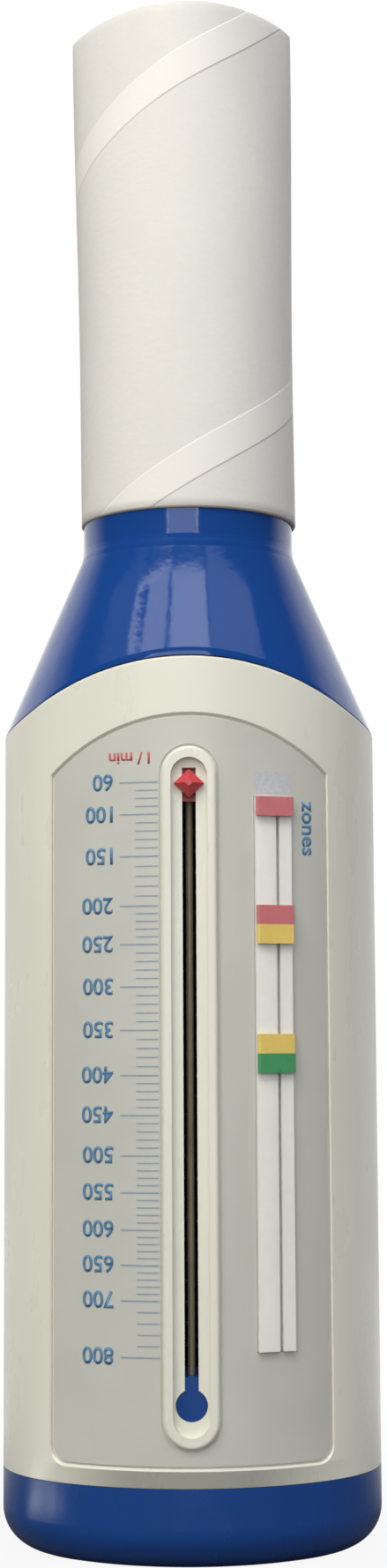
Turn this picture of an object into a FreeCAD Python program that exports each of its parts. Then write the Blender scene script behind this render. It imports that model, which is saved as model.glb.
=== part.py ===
import FreeCAD, Part
import math
import os
import re
import Sketcher

# Peak flow meter. Millimetres, +Z towards the mouthpiece, the scale faces -Y, the base is at Z = 0.
# The body is an oval of four tangent arcs under a round cone; the pieces inside share one axis.

doc = FreeCAD.newDocument("peak_flow_meter")
V = FreeCAD.Vector

# Driving sizes. The first word is the name that every feature's expression uses.
SIZES = [
    # outer body: an oval of four arcs under a round cone; its depth follows from what is stacked inside
    ("body_half_width", 25.5),
    ("side_ease", 2.0),
    ("wall", 2.0),
    ("cap_joint", 10.6),
    ("foot_round", 5.3),
    ("shoulder_low", 108.85),
    ("shoulder_rise", 25.35),
    ("shoulder_round", 2.0),
    ("arch_drop", 0.75),
    ("arch_reach", 19.0),
    ("arch_edge", 0.35),
    ("neck_blend", 4.5),
    ("neck_step", 0.4),
    ("neck_length", 4.4),
    ("split_plane", 2.5),
    ("seam", 0.1),
    ("lap", 1.2),
    ("lap_gap", 0.1),
    ("tongue_rise", 4.0),
    ("vent_half", 1.2),
    ("vent_step", 5.0),
    ("vent_low", 52.0),
    ("vent_length", 20.0),
    ("cradle_low", 42.0),
    ("cradle_step", 46.0),
    # mouthpiece and the spigot under it
    ("tube_radius", 15.0),
    ("tube_wall", 1.0),
    ("tube_length", 71.2),
    ("spigot_gap", 0.08),
    ("spigot_length", 20.0),
    ("spigot_wall", 1.52),
    ("spigot_lead", 0.6),
    ("duct_wall", 1.8),
    # measuring cylinder and its ends
    ("bore_radius", 14.0),
    ("bore_wall", 1.3),
    ("bore_lift", 2.4),
    ("bore_drop", 18.2),
    ("port_half", 1.6),
    ("port_lift", 4.16),
    ("plug_gap", 0.05),
    ("socket_gap", 0.15),
    ("socket_depth", 8.0),
    ("socket_wall", 1.75),
    ("flange", 1.2),
    ("seal_thick", 1.0),
    ("hub_radius", 3.2),
    ("spoke", 1.4),
    ("inlet_skirt", 6.0),
    ("skirt_wall", 1.3),
    ("outlet_low", 6.6),
    ("outlet_high", 11.4),
    ("outlet_half", 1.6),
    # guide rod and piston
    ("rod_radius", 1.5),
    ("rod_stand", 2.6),
    ("rod_tail", 2.0),
    ("rod_end", 0.4),
    ("clip_groove", 1.1),
    ("clip_thick", 0.6),
    ("clip_radius", 3.0),
    ("bush_gap", 0.06),
    ("bush_radius", 2.4),
    ("bush_length", 11.0),
    ("bush_flange", 0.85),
    ("bush_flange_radius", 3.6),
    ("stop_thick", 1.1),
    ("stop_gap", 0.05),
    ("piston_gap", 0.09),
    ("piston_plate", 1.2),
    ("piston_skirt", 3.6),
    ("piston_rib", 1.0),
    # pusher, spring
    ("pusher_half", 1.15),
    ("pusher_clear", 0.35),
    ("pusher_thick", 1.1),
    ("pusher_gap", 0.3),
    ("pusher_drop", 1.0),
    ("pusher_arm", 1.6),
    ("pusher_tail", 7.6),
    ("rivet_radius", 0.8),
    ("rivet_head", 1.4),
    ("rivet_foot", 1.05),
    ("rivet_dome", 0.5),
    ("rivet_offset", 10.6),
    ("coil_radius", 3.35),
    ("coil_wire", 0.3),
    ("coil_count", 12),
    ("seat_rise", 1.1),
    ("cup_radius", 5.4),
    # pointer, its slot and trough
    ("trough_half", 3.6),
    ("trough_rise", 0.5),
    ("trough_sink", 0.6),
    ("trough_lip", 1.2),
    ("trough_edge", 0.5),
    ("trough_over", 2.8),
    ("trough_under", 5.44),
    ("bracket_half", 2.4),
    ("slot_half", 0.89),
    ("slot_over", 2.1),
    ("keyhole_lift", 10.24),
    ("keyhole_radius", 2.06),
    ("pointer_drop", 7.5),
    ("pointer_half_width", 2.0),
    ("pointer_half_height", 1.85),
    ("pointer_edge", 0.6),
    ("pointer_point", 1.1),
    ("stem_half", 0.7),
    ("stem_half_height", 0.95),
    ("stem_seat", 0.76),
    ("slider_half", 2.2),
    ("slider_half_height", 2.2),
    ("slider_gap", 0.12),
    ("slider_thick", 2.33),
    ("wire_radius", 0.5),
    ("wire_gap", 0.06),
    ("wire_inset", 0.85),
    ("wire_over", 4.6),
    # scale panel
    ("panel_half", 18.2),
    ("panel_over", 4.2),
    ("panel_under", 2.4),
    ("panel_arch", 26.0),
    ("panel_corner", 2.0),
    ("panel_sink", 0.45),
    ("panel_thick", 0.3),
    ("panel_gap", 0.3),
    ("panel_edge", 0.3),
    # zone rail and markers
    ("rail_place", 10.97),
    ("rail_half", 2.52),
    ("rail_drop", 1.7),
    ("rail_length", 71.4),
    ("rail_front", 0.35),
    ("rail_back", 1.25),
    ("rail_lip", 0.4),
    ("groove_place", 0.55),
    ("groove_half", 0.24),
    ("groove_wide", 0.85),
    ("groove_deep", 0.6),
    ("marker_thick", 0.65),
    ("marker_half", 2.6),
    ("marker_gap", 0.06),
    ("marker_edge", 0.2),
    ("marker_length", 2.5),
    ("upper_place", 19.2),
    ("lower_place", 35.9),
]

# Sizes that follow from the ones above.
DERIVED = [
    ("pusher_back", "=bore_radius + bore_wall + pusher_clear"),
    ("pusher_front", "=pusher_back + pusher_thick"),
    ("slider_back", "=pusher_front + pusher_gap"),
    ("wire_offset", "=slider_back + wire_inset"),
    ("slider_front", "=slider_back + slider_thick"),
    ("stem_back", "=slider_front - stem_seat"),
    ("cover_back", "=slider_front + slider_gap"),
    ("body_half_depth", "=cover_back + wall"),
    ("trough_floor", "=body_half_depth - trough_sink"),
    ("trough_proud", "=body_half_depth + trough_rise"),
    ("side_radius", "=body_half_depth - side_ease"),
    ("side_centre", "=body_half_width - side_radius"),
    ("front_radius", "=(side_centre ^ 2 + body_half_depth ^ 2 - side_radius ^ 2) / (2 * side_ease)"),
    ("front_centre", "=front_radius - body_half_depth"),
    ("neck_radius", "=tube_radius - neck_step"),
    ("duct_radius", "=tube_radius - tube_wall - spigot_gap - spigot_wall"),
    ("shoulder_high", "=shoulder_low + shoulder_rise"),
    ("cone_slope", "=(body_half_width - neck_radius) / shoulder_rise"),
    ("rim", "=shoulder_high + neck_length"),
    ("tube_top", "=rim + tube_length"),
    ("bore_low", "=cap_joint + bore_lift"),
    ("bore_high", "=shoulder_high - bore_drop"),
    ("socket_low", "=bore_high - socket_depth"),
    ("seal_low", "=bore_high + flange"),
    ("seat_high", "=seal_low + seal_thick"),
    ("rod_low", "=wall + rod_stand"),
    ("rod_high", "=seal_low + rod_tail"),
    ("seat", "=rod_low + seat_rise"),
    ("piston_top", "=bore_high - inlet_skirt - stop_thick - bush_flange - stop_gap"),
    ("piston_under", "=piston_top - piston_plate"),
    ("pointer_zero", "=piston_top - pointer_drop"),
    ("pusher_foot", "=pointer_zero + slider_half_height - pusher_drop"),
    ("keyhole", "=cap_joint + keyhole_lift"),
    ("port_low", "=keyhole + port_lift"),
    ("slot_high", "=pointer_zero + slot_over"),
    ("wire_high", "=slot_high + wire_over"),
    ("trough_low", "=keyhole - trough_under"),
    ("trough_high", "=slot_high + trough_over"),
    ("panel_low", "=trough_low - panel_under"),
    ("panel_high", "=trough_high + panel_over"),
    ("vent_high", "=vent_low + vent_length"),
    ("cradle_high", "=cradle_low + cradle_step"),
    ("rail_high", "=pointer_zero - rail_drop"),
    ("rail_low", "=rail_high - rail_length"),
    ("top_marker", "=rail_high - marker_length"),
    ("upper_marker", "=rail_high - upper_place"),
    ("lower_marker", "=rail_high - lower_place"),
    ("far", "=body_half_width + body_half_depth"),
]

sheet = doc.addObject("Spreadsheet::Sheet", "dims")
for row, (alias, value) in enumerate(SIZES + DERIVED, start=1):
    sheet.set("A%d" % row, alias)
    sheet.set("B%d" % row, str(value))
    sheet.setAlias("B%d" % row, alias)
doc.recompute()

ALIASES = set(alias for alias, value in SIZES + DERIVED)


def ex(text):
    """An expression on the sheet: each size name in the text gets the sheet's name before it."""
    def swap(found):
        word = found.group(0)
        return "dims." + word if word in ALIASES else word
    return re.sub(r"[A-Za-z_]+", swap, str(text))


def val(text):
    """The number that the same expression gives now."""
    names = {alias: float(sheet.get(alias)) for alias in ALIASES}
    total = re.sub(r"[A-Za-z_]+", lambda found: repr(names[found.group(0)]), str(text))
    return float(FreeCAD.Units.Quantity(total).Value)


def bind(thing, **terms):
    for name, text in terms.items():
        thing.setExpression(name.replace("__", "."), ex(text))


# Primitives and booleans, each bound to the sheet.

def cylinder(name, radius, low, high, x="0", y="0"):
    thing = doc.addObject("Part::Cylinder", name)
    bind(thing, Radius=radius, Height="(%s) - (%s)" % (high, low),
         Placement__Base__x=x, Placement__Base__y=y, Placement__Base__z=low)
    return thing


def box(name, xs, ys, zs):
    thing = doc.addObject("Part::Box", name)
    for side, base, (low, high) in (("Length", "x", xs), ("Width", "y", ys), ("Height", "z", zs)):
        thing.setExpression(side, ex("(%s) - (%s)" % (high, low)))
        thing.setExpression("Placement.Base." + base, ex(low))
    return thing


def cut(name, base, tool):
    thing = doc.addObject("Part::Cut", name)
    thing.Base = base
    thing.Tool = tool
    return thing


def fuse(name, *shapes):
    thing = doc.addObject("Part::MultiFuse", name)
    thing.Shapes = list(shapes)
    return thing


def common(name, *shapes):
    thing = doc.addObject("Part::MultiCommon", name)
    thing.Shapes = list(shapes)
    return thing


def feature(name, shape):
    thing = doc.addObject("Part::Feature", name)
    thing.Shape = shape
    return thing


def soften(kind, name, base, amount, wanted):
    """Rounds or bevels the edges of base that wanted picks, by the amount named in the sheet."""
    doc.recompute()
    thing = doc.addObject("Part::" + kind, name)
    thing.Base = base
    size = val(amount)
    thing.Edges = [(n, size, size) for n, edge in enumerate(base.Shape.Edges, start=1) if wanted(edge)]
    return thing


# Bodies with constrained sketches.

def new_body(name):
    return doc.addObject("PartDesign::Body", name)


def plane_of(body, role):
    return next(item for item in body.Origin.OriginFeatures if item.Role == role)


def new_sketch(body, role, offset=None):
    sketch = body.newObject("Sketcher::SketchObject", body.Name + "_sketch")
    sketch.AttachmentSupport = (plane_of(body, role), [""])
    sketch.MapMode = "FlatFace"
    if offset is not None:
        sketch.setExpression("AttachmentOffset.Base.z", ex(offset))
    return sketch


def pin_point(sketch, geo, spot, x, y):
    for kind, text in (("DistanceX", x), ("DistanceY", y)):
        number = sketch.addConstraint(Sketcher.Constraint(kind, -1, 1, geo, spot, val(text)))
        sketch.setExpression("Constraints[%d]" % number, ex(text))


def polygon(sketch, points):
    """A closed outline whose every corner is pinned to two expressions."""
    spots = [V(val(x), val(y), 0) for x, y in points]
    first = sketch.GeometryCount
    total = len(spots)
    for n in range(total):
        sketch.addGeometry(Part.LineSegment(spots[n], spots[(n + 1) % total]), False)
    for n in range(total):
        sketch.addConstraint(Sketcher.Constraint("Coincident", first + n, 2, first + (n + 1) % total, 1))
        pin_point(sketch, first + n, 1, points[n][0], points[n][1])


def circle(sketch, x, y, radius):
    geo = sketch.addGeometry(Part.Circle(V(val(x), val(y), 0), V(0, 0, 1), val(radius)), False)
    pin_point(sketch, geo, 3, x, y)
    number = sketch.addConstraint(Sketcher.Constraint("Radius", geo, val(radius)))
    sketch.setExpression("Constraints[%d]" % number, ex(radius))


def rectangle(sketch, xs, ys):
    (left, right), (low, high) = xs, ys
    polygon(sketch, [(left, low), (right, low), (right, high), (left, high)])


def revolve(body, points):
    """A ring or disc about Z from (radius, height) corners."""
    sketch = new_sketch(body, "XZ_Plane")
    polygon(sketch, points)
    turned = body.newObject("PartDesign::Revolution", body.Name + "_turn")
    turned.Profile = sketch
    turned.ReferenceAxis = (sketch, ["V_Axis"])
    turned.Angle = 360
    return turned


def pad(body, sketch, length, reverse=False):
    grown = body.newObject("PartDesign::Pad", body.Name + "_pad")
    grown.Profile = sketch
    grown.Reversed = reverse
    grown.setExpression("Length", ex(length))
    return grown


def pocket(body, sketch, length, reverse=False):
    taken = body.newObject("PartDesign::Pocket", body.Name + "_pocket")
    taken.Profile = sketch
    taken.Reversed = reverse
    taken.setExpression("Length", ex(length))
    return taken


def around(body, original, count):
    pattern = body.newObject("PartDesign::PolarPattern", body.Name + "_around")
    pattern.Originals = [original]
    pattern.Axis = (next(item for item in body.Origin.OriginFeatures if item.Role == "Z_Axis"), [""])
    pattern.Angle = 360
    pattern.Occurrences = count
    body.Tip = pattern
    return pattern


def oval(name, inset, low, high):
    """The body's four-arc section, drawn in by inset on every side, from low to high."""
    body = new_body(name)
    sketch = new_sketch(body, "XY_Plane", low)
    reach = "(front_radius + 4) / (front_radius - side_radius)"
    corner = math.atan2(val("front_centre"), val("side_centre"))
    ends = {}
    for right, back in ((1, 1), (-1, 1), (-1, -1), (1, -1)):
        foot = ("0", "%d * front_centre" % -back)
        tip = ("%d * side_centre * %s" % (right, reach), "%d * front_centre * (%s - 1)" % (back, reach))
        line = sketch.addGeometry(Part.LineSegment(*[V(val(x), val(y), 0) for x, y in (foot, tip)]), True)
        for spot, (x, y) in ((1, foot), (2, tip)):
            pin_point(sketch, line, spot, x, y)
        ends[(right, back)] = line
    arcs = (
        ("side_centre", "0", "side_radius", -corner, corner, (1, -1), (1, 1)),
        ("0", "-front_centre", "front_radius", corner, math.pi - corner, (1, 1), (-1, 1)),
        ("-side_centre", "0", "side_radius", math.pi - corner, math.pi + corner, (-1, 1), (-1, -1)),
        ("0", "front_centre", "front_radius", math.pi + corner, 2 * math.pi - corner, (-1, -1), (1, -1)),
    )
    for x, y, radius, start, stop, first, last in arcs:
        size = "%s - (%s)" % (radius, inset)
        ring = Part.Circle(V(val(x), val(y), 0), V(0, 0, 1), val(size))
        geo = sketch.addGeometry(Part.ArcOfCircle(ring, start, stop), False)
        pin_point(sketch, geo, 3, x, y)
        number = sketch.addConstraint(Sketcher.Constraint("Radius", geo, val(size)))
        sketch.setExpression("Constraints[%d]" % number, ex(size))
        sketch.addConstraint(Sketcher.Constraint("PointOnObject", geo, 1, ends[first]))
        sketch.addConstraint(Sketcher.Constraint("PointOnObject", geo, 2, ends[last]))
    pad(body, sketch, "(%s) - (%s)" % (high, low))
    return body


NODES = {}


def node(name, thing):
    thing.Label = name
    NODES[name] = thing
    return thing


# The arch that parts cover and shoulder, just under the line where the cone meets the oval body.

def half_depth(x, inset=0.0):
    """How far in front of the axis the body's surface stands at x."""
    across = abs(x)
    join = val("side_centre") * val("front_radius") / (val("front_radius") - val("side_radius"))
    if across <= join:
        return math.sqrt((val("front_radius") - inset) ** 2 - across ** 2) - val("front_centre")
    return math.sqrt(max(0.0, (val("side_radius") - inset) ** 2 - (across - val("side_centre")) ** 2))


def on_surface(edge):
    """Whether an edge lies on the body's outer surface."""
    join = val("side_centre") * val("front_radius") / (val("front_radius") - val("side_radius"))
    for part in (0.0, 0.5, 1.0):
        spot = edge.valueAt(edge.FirstParameter + (edge.LastParameter - edge.FirstParameter) * part)
        across, deep = abs(spot.x), abs(spot.y)
        if across <= join:
            off = math.hypot(across, deep + val("front_centre")) - val("front_radius")
        else:
            off = math.hypot(across - val("side_centre"), deep) - val("side_radius")
        if abs(off) > 0.01:
            return False
    return True


def arch_height(x):
    across = min(abs(x), val("body_half_width"))
    away = math.hypot(across, half_depth(across))
    drop = val("arch_drop") * max(0.0, 1 - (across / val("arch_reach")) ** 2)
    return val("shoulder_high") - (away - val("neck_radius")) / val("cone_slope") - drop


def under_arch(name, lift, back):
    """Everything under the arch curve raised by lift, from far in front to the plane at back."""
    reach = val("body_half_width")
    steps = 24
    marks = [-reach + 2 * reach * n / steps for n in range(steps + 1)]
    front = -val("far")
    curve = Part.BSplineCurve()
    curve.interpolate([V(x, front, arch_height(x) + lift) for x in marks])
    side = reach * 1.25
    foot = val("cap_joint") / 2
    shoulder = arch_height(reach) + lift
    corners = ((reach, shoulder), (side, shoulder), (side, foot), (-side, foot), (-side, shoulder),
               (-reach, shoulder))
    ends = [V(x, front, z) for x, z in corners]
    edges = [curve.toShape()] + [Part.makeLine(a, b) for a, b in zip(ends, ends[1:])]
    face = Part.Face(Part.Wire(Part.__sortEdges__(edges)))
    return feature(name, face.extrude(V(0, back - front, 0)))


def envelope(name, inset, low):
    """The round cone under the neck, drawn in by inset, with straight sides below it."""
    body = new_body(name)
    wide = "body_half_width * 1.3"
    foot = "shoulder_high - (%s - neck_radius + (%s)) / cone_slope" % (wide, inset)
    revolve(body, [("0", low), (wide, low), (wide, foot), ("neck_radius - (%s)" % inset, "shoulder_high"),
                   ("0", "shoulder_high")])
    return body


# main_body: rear shell, shoulder, neck and spigot in one moulding

outer_sharp = common("outer_sharp", oval("outer_oval", "0", "cap_joint", "shoulder_high"),
                     envelope("outer_cone", "0", "cap_joint - 1"))
outer = soften("Fillet", "outer_form", outer_sharp, "shoulder_round",
               lambda edge: edge.BoundBox.XLength > 2 and val("shoulder_low") - 1 < edge.BoundBox.ZMin
               and edge.BoundBox.ZMax < val("shoulder_high") - 3)
inner = common("inner_form", oval("inner_oval", "wall", "cap_joint - 1", "shoulder_high"),
               envelope("inner_cone", "wall * 1.09", "cap_joint - 2"))
skin = cut("skin", outer, inner)
front_zone = under_arch("front_zone", val("seam"), val("split_plane + seam / 2"))
rear_skin = cut("rear_skin", skin, front_zone)

neck = new_body("neck_form")
spigot = "tube_radius - tube_wall - spigot_gap"
revolve(neck, [
    ("duct_radius", "rim + spigot_length"),
    (spigot + " - spigot_lead", "rim + spigot_length"),
    (spigot, "rim + spigot_length - spigot_lead * 2"),
    (spigot, "rim"),
    ("neck_radius", "rim"),
    ("neck_radius", "shoulder_high - 2.6"),
    ("duct_radius + duct_wall", "shoulder_high - 2.6"),
    ("duct_radius + duct_wall", "seat_high + 1.8"),
    ("bore_radius + bore_wall + socket_gap + socket_wall", "seat_high + 1.8"),
    ("bore_radius + bore_wall + socket_gap + socket_wall", "socket_low"),
    ("bore_radius + bore_wall + socket_gap", "socket_low"),
    ("bore_radius + bore_wall + socket_gap", "seat_high"),
    ("duct_radius", "seat_high"),
])
bore_clear = cylinder("duct_clear", "duct_radius", "shoulder_high - 6", "rim")

tongue_ring = cut("tongue_ring", oval("tongue_out", "wall + lap_gap", "shoulder_low - 12", "shoulder_high"),
                  oval("tongue_in", "wall + lap_gap + lap", "shoulder_low - 13", "shoulder_high + 1"))
tongue_band = cut("tongue_band", under_arch("tongue_top", val("tongue_rise"), val("split_plane + 3")),
                  under_arch("tongue_foot", -val("tongue_rise"), val("split_plane + 4")))
tongue = common("tongue", tongue_ring, tongue_band, outer)

cradles = []
for height in ("cradle_low", "cradle_high"):
    rib = common(height + "_rib", oval(height + "_oval", "wall - 0.1", height, height + " + spoke"),
                 box(height + "_box", ("-far", "far"), ("split_plane + 6", "far"),
                     (height + " - 1", height + " + 5")))
    cradles.append(rib)
cradle_seat = cylinder("cradle_seat", "bore_radius + bore_wall + socket_gap",
                       "cradle_low - 5", "cradle_high + 5")
cradle_set = cut("cradle_set", fuse("cradle_pair", *cradles), cradle_seat)

shell_sharp = fuse("shell_sharp", rear_skin, neck, tongue, cradle_set)
shell = soften("Fillet", "shell", shell_sharp, "neck_blend",
               lambda edge: abs(edge.BoundBox.ZMin - val("shoulder_high")) < 0.01
               and edge.BoundBox.ZLength < 0.01 and abs(edge.BoundBox.XMax - val("neck_radius")) < 0.01)
vents = []
for n in (-2, -1, 0, 1, 2):
    vents.append(box("vent_%d" % (n + 2),
                     ("%d * vent_step - vent_half" % n, "%d * vent_step + vent_half" % n),
                     ("bore_radius", "far"), ("vent_low", "vent_high")))
vented = cut("vented", shell, fuse("vent_set", *vents))
node("main_body", cut("main_body", vented, bore_clear))

# front_cover: the front half of the body, with the panel recess, the trough and the rail pocket

cover_sharp = common("cover_sharp", cut("cover_wall", oval("cover_out", "0", "cap_joint", "shoulder_high"),
                                        oval("cover_in", "wall", "cap_joint - 1", "shoulder_high + 1")),
                     under_arch("cover_zone", 0, val("split_plane - seam / 2")))
cover_skin = soften("Fillet", "cover_skin", cover_sharp, "arch_edge",
                    lambda edge: edge.BoundBox.XLength > 2 and edge.BoundBox.ZMax > val("shoulder_low")
                    and on_surface(edge))


def obround(name, half, low, high, front, back):
    """A slot shape with round ends seen from the front, between two depths in front of the axis."""
    body = new_body(name)
    sketch = new_sketch(body, "XZ_Plane", back)
    rectangle(sketch, ("-(%s)" % half, half), ("(%s) + (%s)" % (low, half), "(%s) - (%s)" % (high, half)))
    pad(body, sketch, "(%s) - (%s)" % (front, back))
    for n, end in enumerate(("(%s) + (%s)" % (low, half), "(%s) - (%s)" % (high, half))):
        disc = new_sketch(body, "XZ_Plane", back)
        circle(disc, "0", end, half)
        pad(body, disc, "(%s) - (%s)" % (front, back))
    return body


def panel_zone(name, gap):
    """The scale panel's outline, seen from the front, drawn in by gap."""
    half = val("panel_half") - gap
    low = val("panel_low") + gap
    arch = val("panel_arch") - gap
    centre = val("panel_high") - val("panel_arch")
    shoulder = centre + math.sqrt(arch ** 2 - half ** 2)
    corner = val("panel_corner")
    turn = corner * (1 - math.sqrt(0.5))
    y = -val("far")
    edges = [
        Part.Arc(V(-half, y, shoulder), V(0, y, centre + arch), V(half, y, shoulder)).toShape(),
        Part.makeLine(V(half, y, shoulder), V(half, y, low + corner)),
        Part.Arc(V(half, y, low + corner), V(half - turn, y, low + turn), V(half - corner, y, low)).toShape(),
        Part.makeLine(V(half - corner, y, low), V(-half + corner, y, low)),
        Part.Arc(V(-half + corner, y, low), V(-half + turn, y, low + turn),
                 V(-half, y, low + corner)).toShape(),
        Part.makeLine(V(-half, y, low + corner), V(-half, y, shoulder)),
    ]
    return feature(name, Part.Face(Part.Wire(edges)).extrude(V(0, -y, 0)))


recess = common("recess", panel_zone("recess_zone", 0.0),
                cut("recess_skin", oval("recess_out", "-1", "cap_joint", "shoulder_high"),
                    oval("recess_in", "panel_sink", "cap_joint - 1", "shoulder_high + 1")))
sunk_sharp = cut("sunk_sharp", cover_skin, recess)
sunk = soften("Chamfer", "sunk", sunk_sharp, "panel_edge",
              lambda edge: on_surface(edge)
              and max(abs(edge.BoundBox.XMin), abs(edge.BoundBox.XMax)) < val("panel_half") + 0.01
              and edge.BoundBox.ZMin > val("panel_low") - 0.01
              and edge.BoundBox.ZMax < val("panel_high") + 0.01)
ridge_sharp = obround("ridge", "trough_half", "trough_low", "trough_high", "trough_proud", "cover_back")
ridge = soften("Fillet", "ridge_round", ridge_sharp, "trough_edge",
               lambda edge: abs(edge.BoundBox.YMax + val("trough_proud")) < 0.01)
bracket = box("wire_bracket", ("-bracket_half", "bracket_half"),
              ("-(cover_back + 0.2)", "-(slider_back + 0.05)"), ("slot_high + 2", "wire_high + 0.2"))

lip_ring = cut("lip_ring", oval("lip_out", "wall + lap_gap", "cap_joint + 6", "shoulder_low - 6"),
               oval("lip_in", "wall + lap_gap + lap", "cap_joint + 5", "shoulder_low - 5"))
lip_zone = common("lip_zone", lip_ring,
                  box("lip_box", ("-far", "far"), ("split_plane - 3", "split_plane + 2.4"),
                      ("0", "shoulder_low")))
root_ring = cut("root_ring", oval("root_out", "wall - 0.2", "cap_joint + 6", "shoulder_low - 6"),
                oval("root_in", "wall + lap", "cap_joint + 5", "shoulder_low - 5"))
lip_root = common("lip_root", root_ring,
                  box("root_box", ("-far", "far"), ("split_plane - 3", "split_plane - seam / 2"),
                      ("0", "shoulder_low")))
built = fuse("cover_built", sunk, ridge, bracket, lip_zone, lip_root)

trough = obround("trough", "trough_half - trough_lip", "trough_low + trough_lip * 1.25",
                 "trough_high - trough_lip * 1.25", "trough_proud + 1", "trough_floor")
slot = box("slot", ("-slot_half", "slot_half"), ("-far", "-(cover_back - 0.3)"), ("keyhole", "slot_high"))
hole = new_body("keyhole_cut")
hole_sketch = new_sketch(hole, "XZ_Plane", "cover_back - 0.3")
circle(hole_sketch, "0", "keyhole", "keyhole_radius")
pad(hole, hole_sketch, "6")
wire_hole = cylinder("wire_hole", "wire_radius", "slot_high", "wire_high", "0", "-wire_offset")

# The rail stands square to the body's surface, so its pocket and pieces share one turned frame.
RAIL_X = val("rail_place")
RAIL_Y = -half_depth(RAIL_X)
RAIL_TURN = math.degrees(math.asin(RAIL_X / val("front_radius")))
RAIL_FRAME = FreeCAD.Placement(V(RAIL_X, RAIL_Y, 0), FreeCAD.Rotation(V(0, 0, 1), RAIL_TURN))


def rail_body(name, points, low, high):
    """A straight piece along Z whose section is drawn in the rail's frame, -Y outwards."""
    body = new_body(name)
    sketch = new_sketch(body, "XY_Plane", low)
    polygon(sketch, points)
    pad(body, sketch, "(%s) - (%s)" % (high, low))
    body.Placement = RAIL_FRAME
    return body


rail_room = rail_body("rail_room", [
    ("-rail_half - seam", "rail_back"), ("rail_half + seam", "rail_back"),
    ("rail_half + seam", "-2"), ("-rail_half - seam", "-2")], "rail_low - seam", "rail_high + seam")

opened = cut("cover_opened", built, fuse("cover_cuts", trough, slot, hole, wire_hole, rail_room))
node("front_cover", opened)

# scale_label: the printed panel in the recess

label_skin = cut("label_skin", oval("label_out", "panel_sink - panel_thick", "cap_joint", "shoulder_high"),
                 oval("label_in", "panel_sink", "cap_joint - 1", "shoulder_high + 1"))
label_whole = common("label_whole", panel_zone("label_zone", val("panel_gap")), label_skin)
label_hole = obround("label_hole", "trough_half + panel_gap", "trough_low - panel_gap",
                     "trough_high + panel_gap", "far", "slider_back")
node("scale_label", cut("scale_label", label_whole, fuse("label_cuts", label_hole, rail_room)))

# end_cap: the cup that closes the base and holds both shells

cap_block = oval("cap_block", "0", "0", "cap_joint - seam / 2")
cap_round = soften("Fillet", "cap_round", cap_block, "foot_round",
                   lambda edge: abs(edge.BoundBox.ZMax) < 0.01)
cap_hollow = soften("Chamfer", "cap_hollow_bevel", oval("cap_hollow", "wall", "wall", "cap_joint + 1"),
                    "foot_round - wall", lambda edge: abs(edge.BoundBox.ZMax - val("wall")) < 0.01)
cap_cup = cut("cap_cup", cap_round, cap_hollow)
cap_ring = cut("cap_ring", oval("cap_ring_out", "wall + lap_gap", "cap_joint - 4", "cap_joint + 4"),
               oval("cap_ring_in", "wall + lap_gap + lap", "cap_joint - 5", "cap_joint + 5"))
cap_root = cut("cap_root", oval("cap_root_out", "wall - 0.2", "cap_joint - 4", "cap_joint - seam / 2"),
               oval("cap_root_in", "wall + lap", "cap_joint - 5", "cap_joint"))
cap_stand = cut("cap_stand",
                cylinder("stand_out", "bore_radius + bore_wall - 0.6", "wall - 0.5", "bore_low - flange"),
                cylinder("stand_in", "bore_radius - 0.8", "wall - 1", "bore_low"))
cap_built = fuse("cap_built", cap_cup, cap_ring, cap_root, cap_stand)
cap_vents = []
for n in (-2, -1, 1, 2):
    cap_vents.append(box("cap_vent_%d" % (n + 2),
                         ("%d * vent_step - vent_half" % n, "%d * vent_step + vent_half" % n),
                         ("-vent_step", "vent_step"), ("-1", "wall + 2")))
node("end_cap", cut("end_cap", cap_built, fuse("cap_vent_set", *cap_vents)))

# measuring_cylinder: the tube the piston runs in, with a long front port and the boss in the keyhole

drum = new_body("measuring_cylinder")
revolve(drum, [("bore_radius", "bore_low"), ("bore_radius + bore_wall", "bore_low"),
               ("bore_radius + bore_wall", "bore_high"), ("bore_radius", "bore_high")])
boss_sketch = new_sketch(drum, "XZ_Plane", "bore_radius + 0.4")
circle(boss_sketch, "0", "keyhole", "keyhole_radius - plug_gap")
pad(drum, boss_sketch, "trough_floor - 0.2 - bore_radius - 0.4")
neck_sketch = new_sketch(drum, "XZ_Plane", "bore_radius + 0.4")
rectangle(neck_sketch, ("-slot_half + plug_gap", "slot_half - plug_gap"), ("keyhole", "port_low - 0.6"))
pad(drum, neck_sketch, "trough_floor - 0.2 - bore_radius - 0.4")
port_sketch = new_sketch(drum, "XZ_Plane", "bore_radius - 4")
rectangle(port_sketch, ("-port_half", "port_half"), ("port_low", "bore_high + 1"))
pocket(drum, port_sketch, "8", True)
socket_sketch = new_sketch(drum, "XY_Plane", "port_low")
circle(socket_sketch, "0", "-wire_offset", "wire_radius")
pocket(drum, socket_sketch, "port_low - keyhole - 1")
node("measuring_cylinder", drum)

# inlet_spider: closes the top of the cylinder around the air way and holds the rod

spider = new_body("inlet_spider")
revolve(spider, [
    ("bore_radius - plug_gap - skirt_wall", "bore_high - inlet_skirt"),
    ("bore_radius - plug_gap", "bore_high - inlet_skirt"),
    ("bore_radius - plug_gap", "bore_high"),
    ("bore_radius + bore_wall", "bore_high"),
    ("bore_radius + bore_wall", "bore_high + flange"),
    ("bore_radius - plug_gap - skirt_wall", "bore_high + flange"),
])
spoke_sketch = new_sketch(spider, "XY_Plane", "bore_high - inlet_skirt + 1")
rectangle(spoke_sketch, ("0", "bore_radius - skirt_wall + 0.4"), ("-spoke / 2", "spoke / 2"))
spoke_pad = pad(spider, spoke_sketch, "inlet_skirt + flange - 1")
around(spider, spoke_pad, 4)
hub_sketch = new_sketch(spider, "XY_Plane", "bore_high - inlet_skirt")
circle(hub_sketch, "0", "0", "hub_radius")
pad(spider, hub_sketch, "inlet_skirt + flange")
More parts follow.
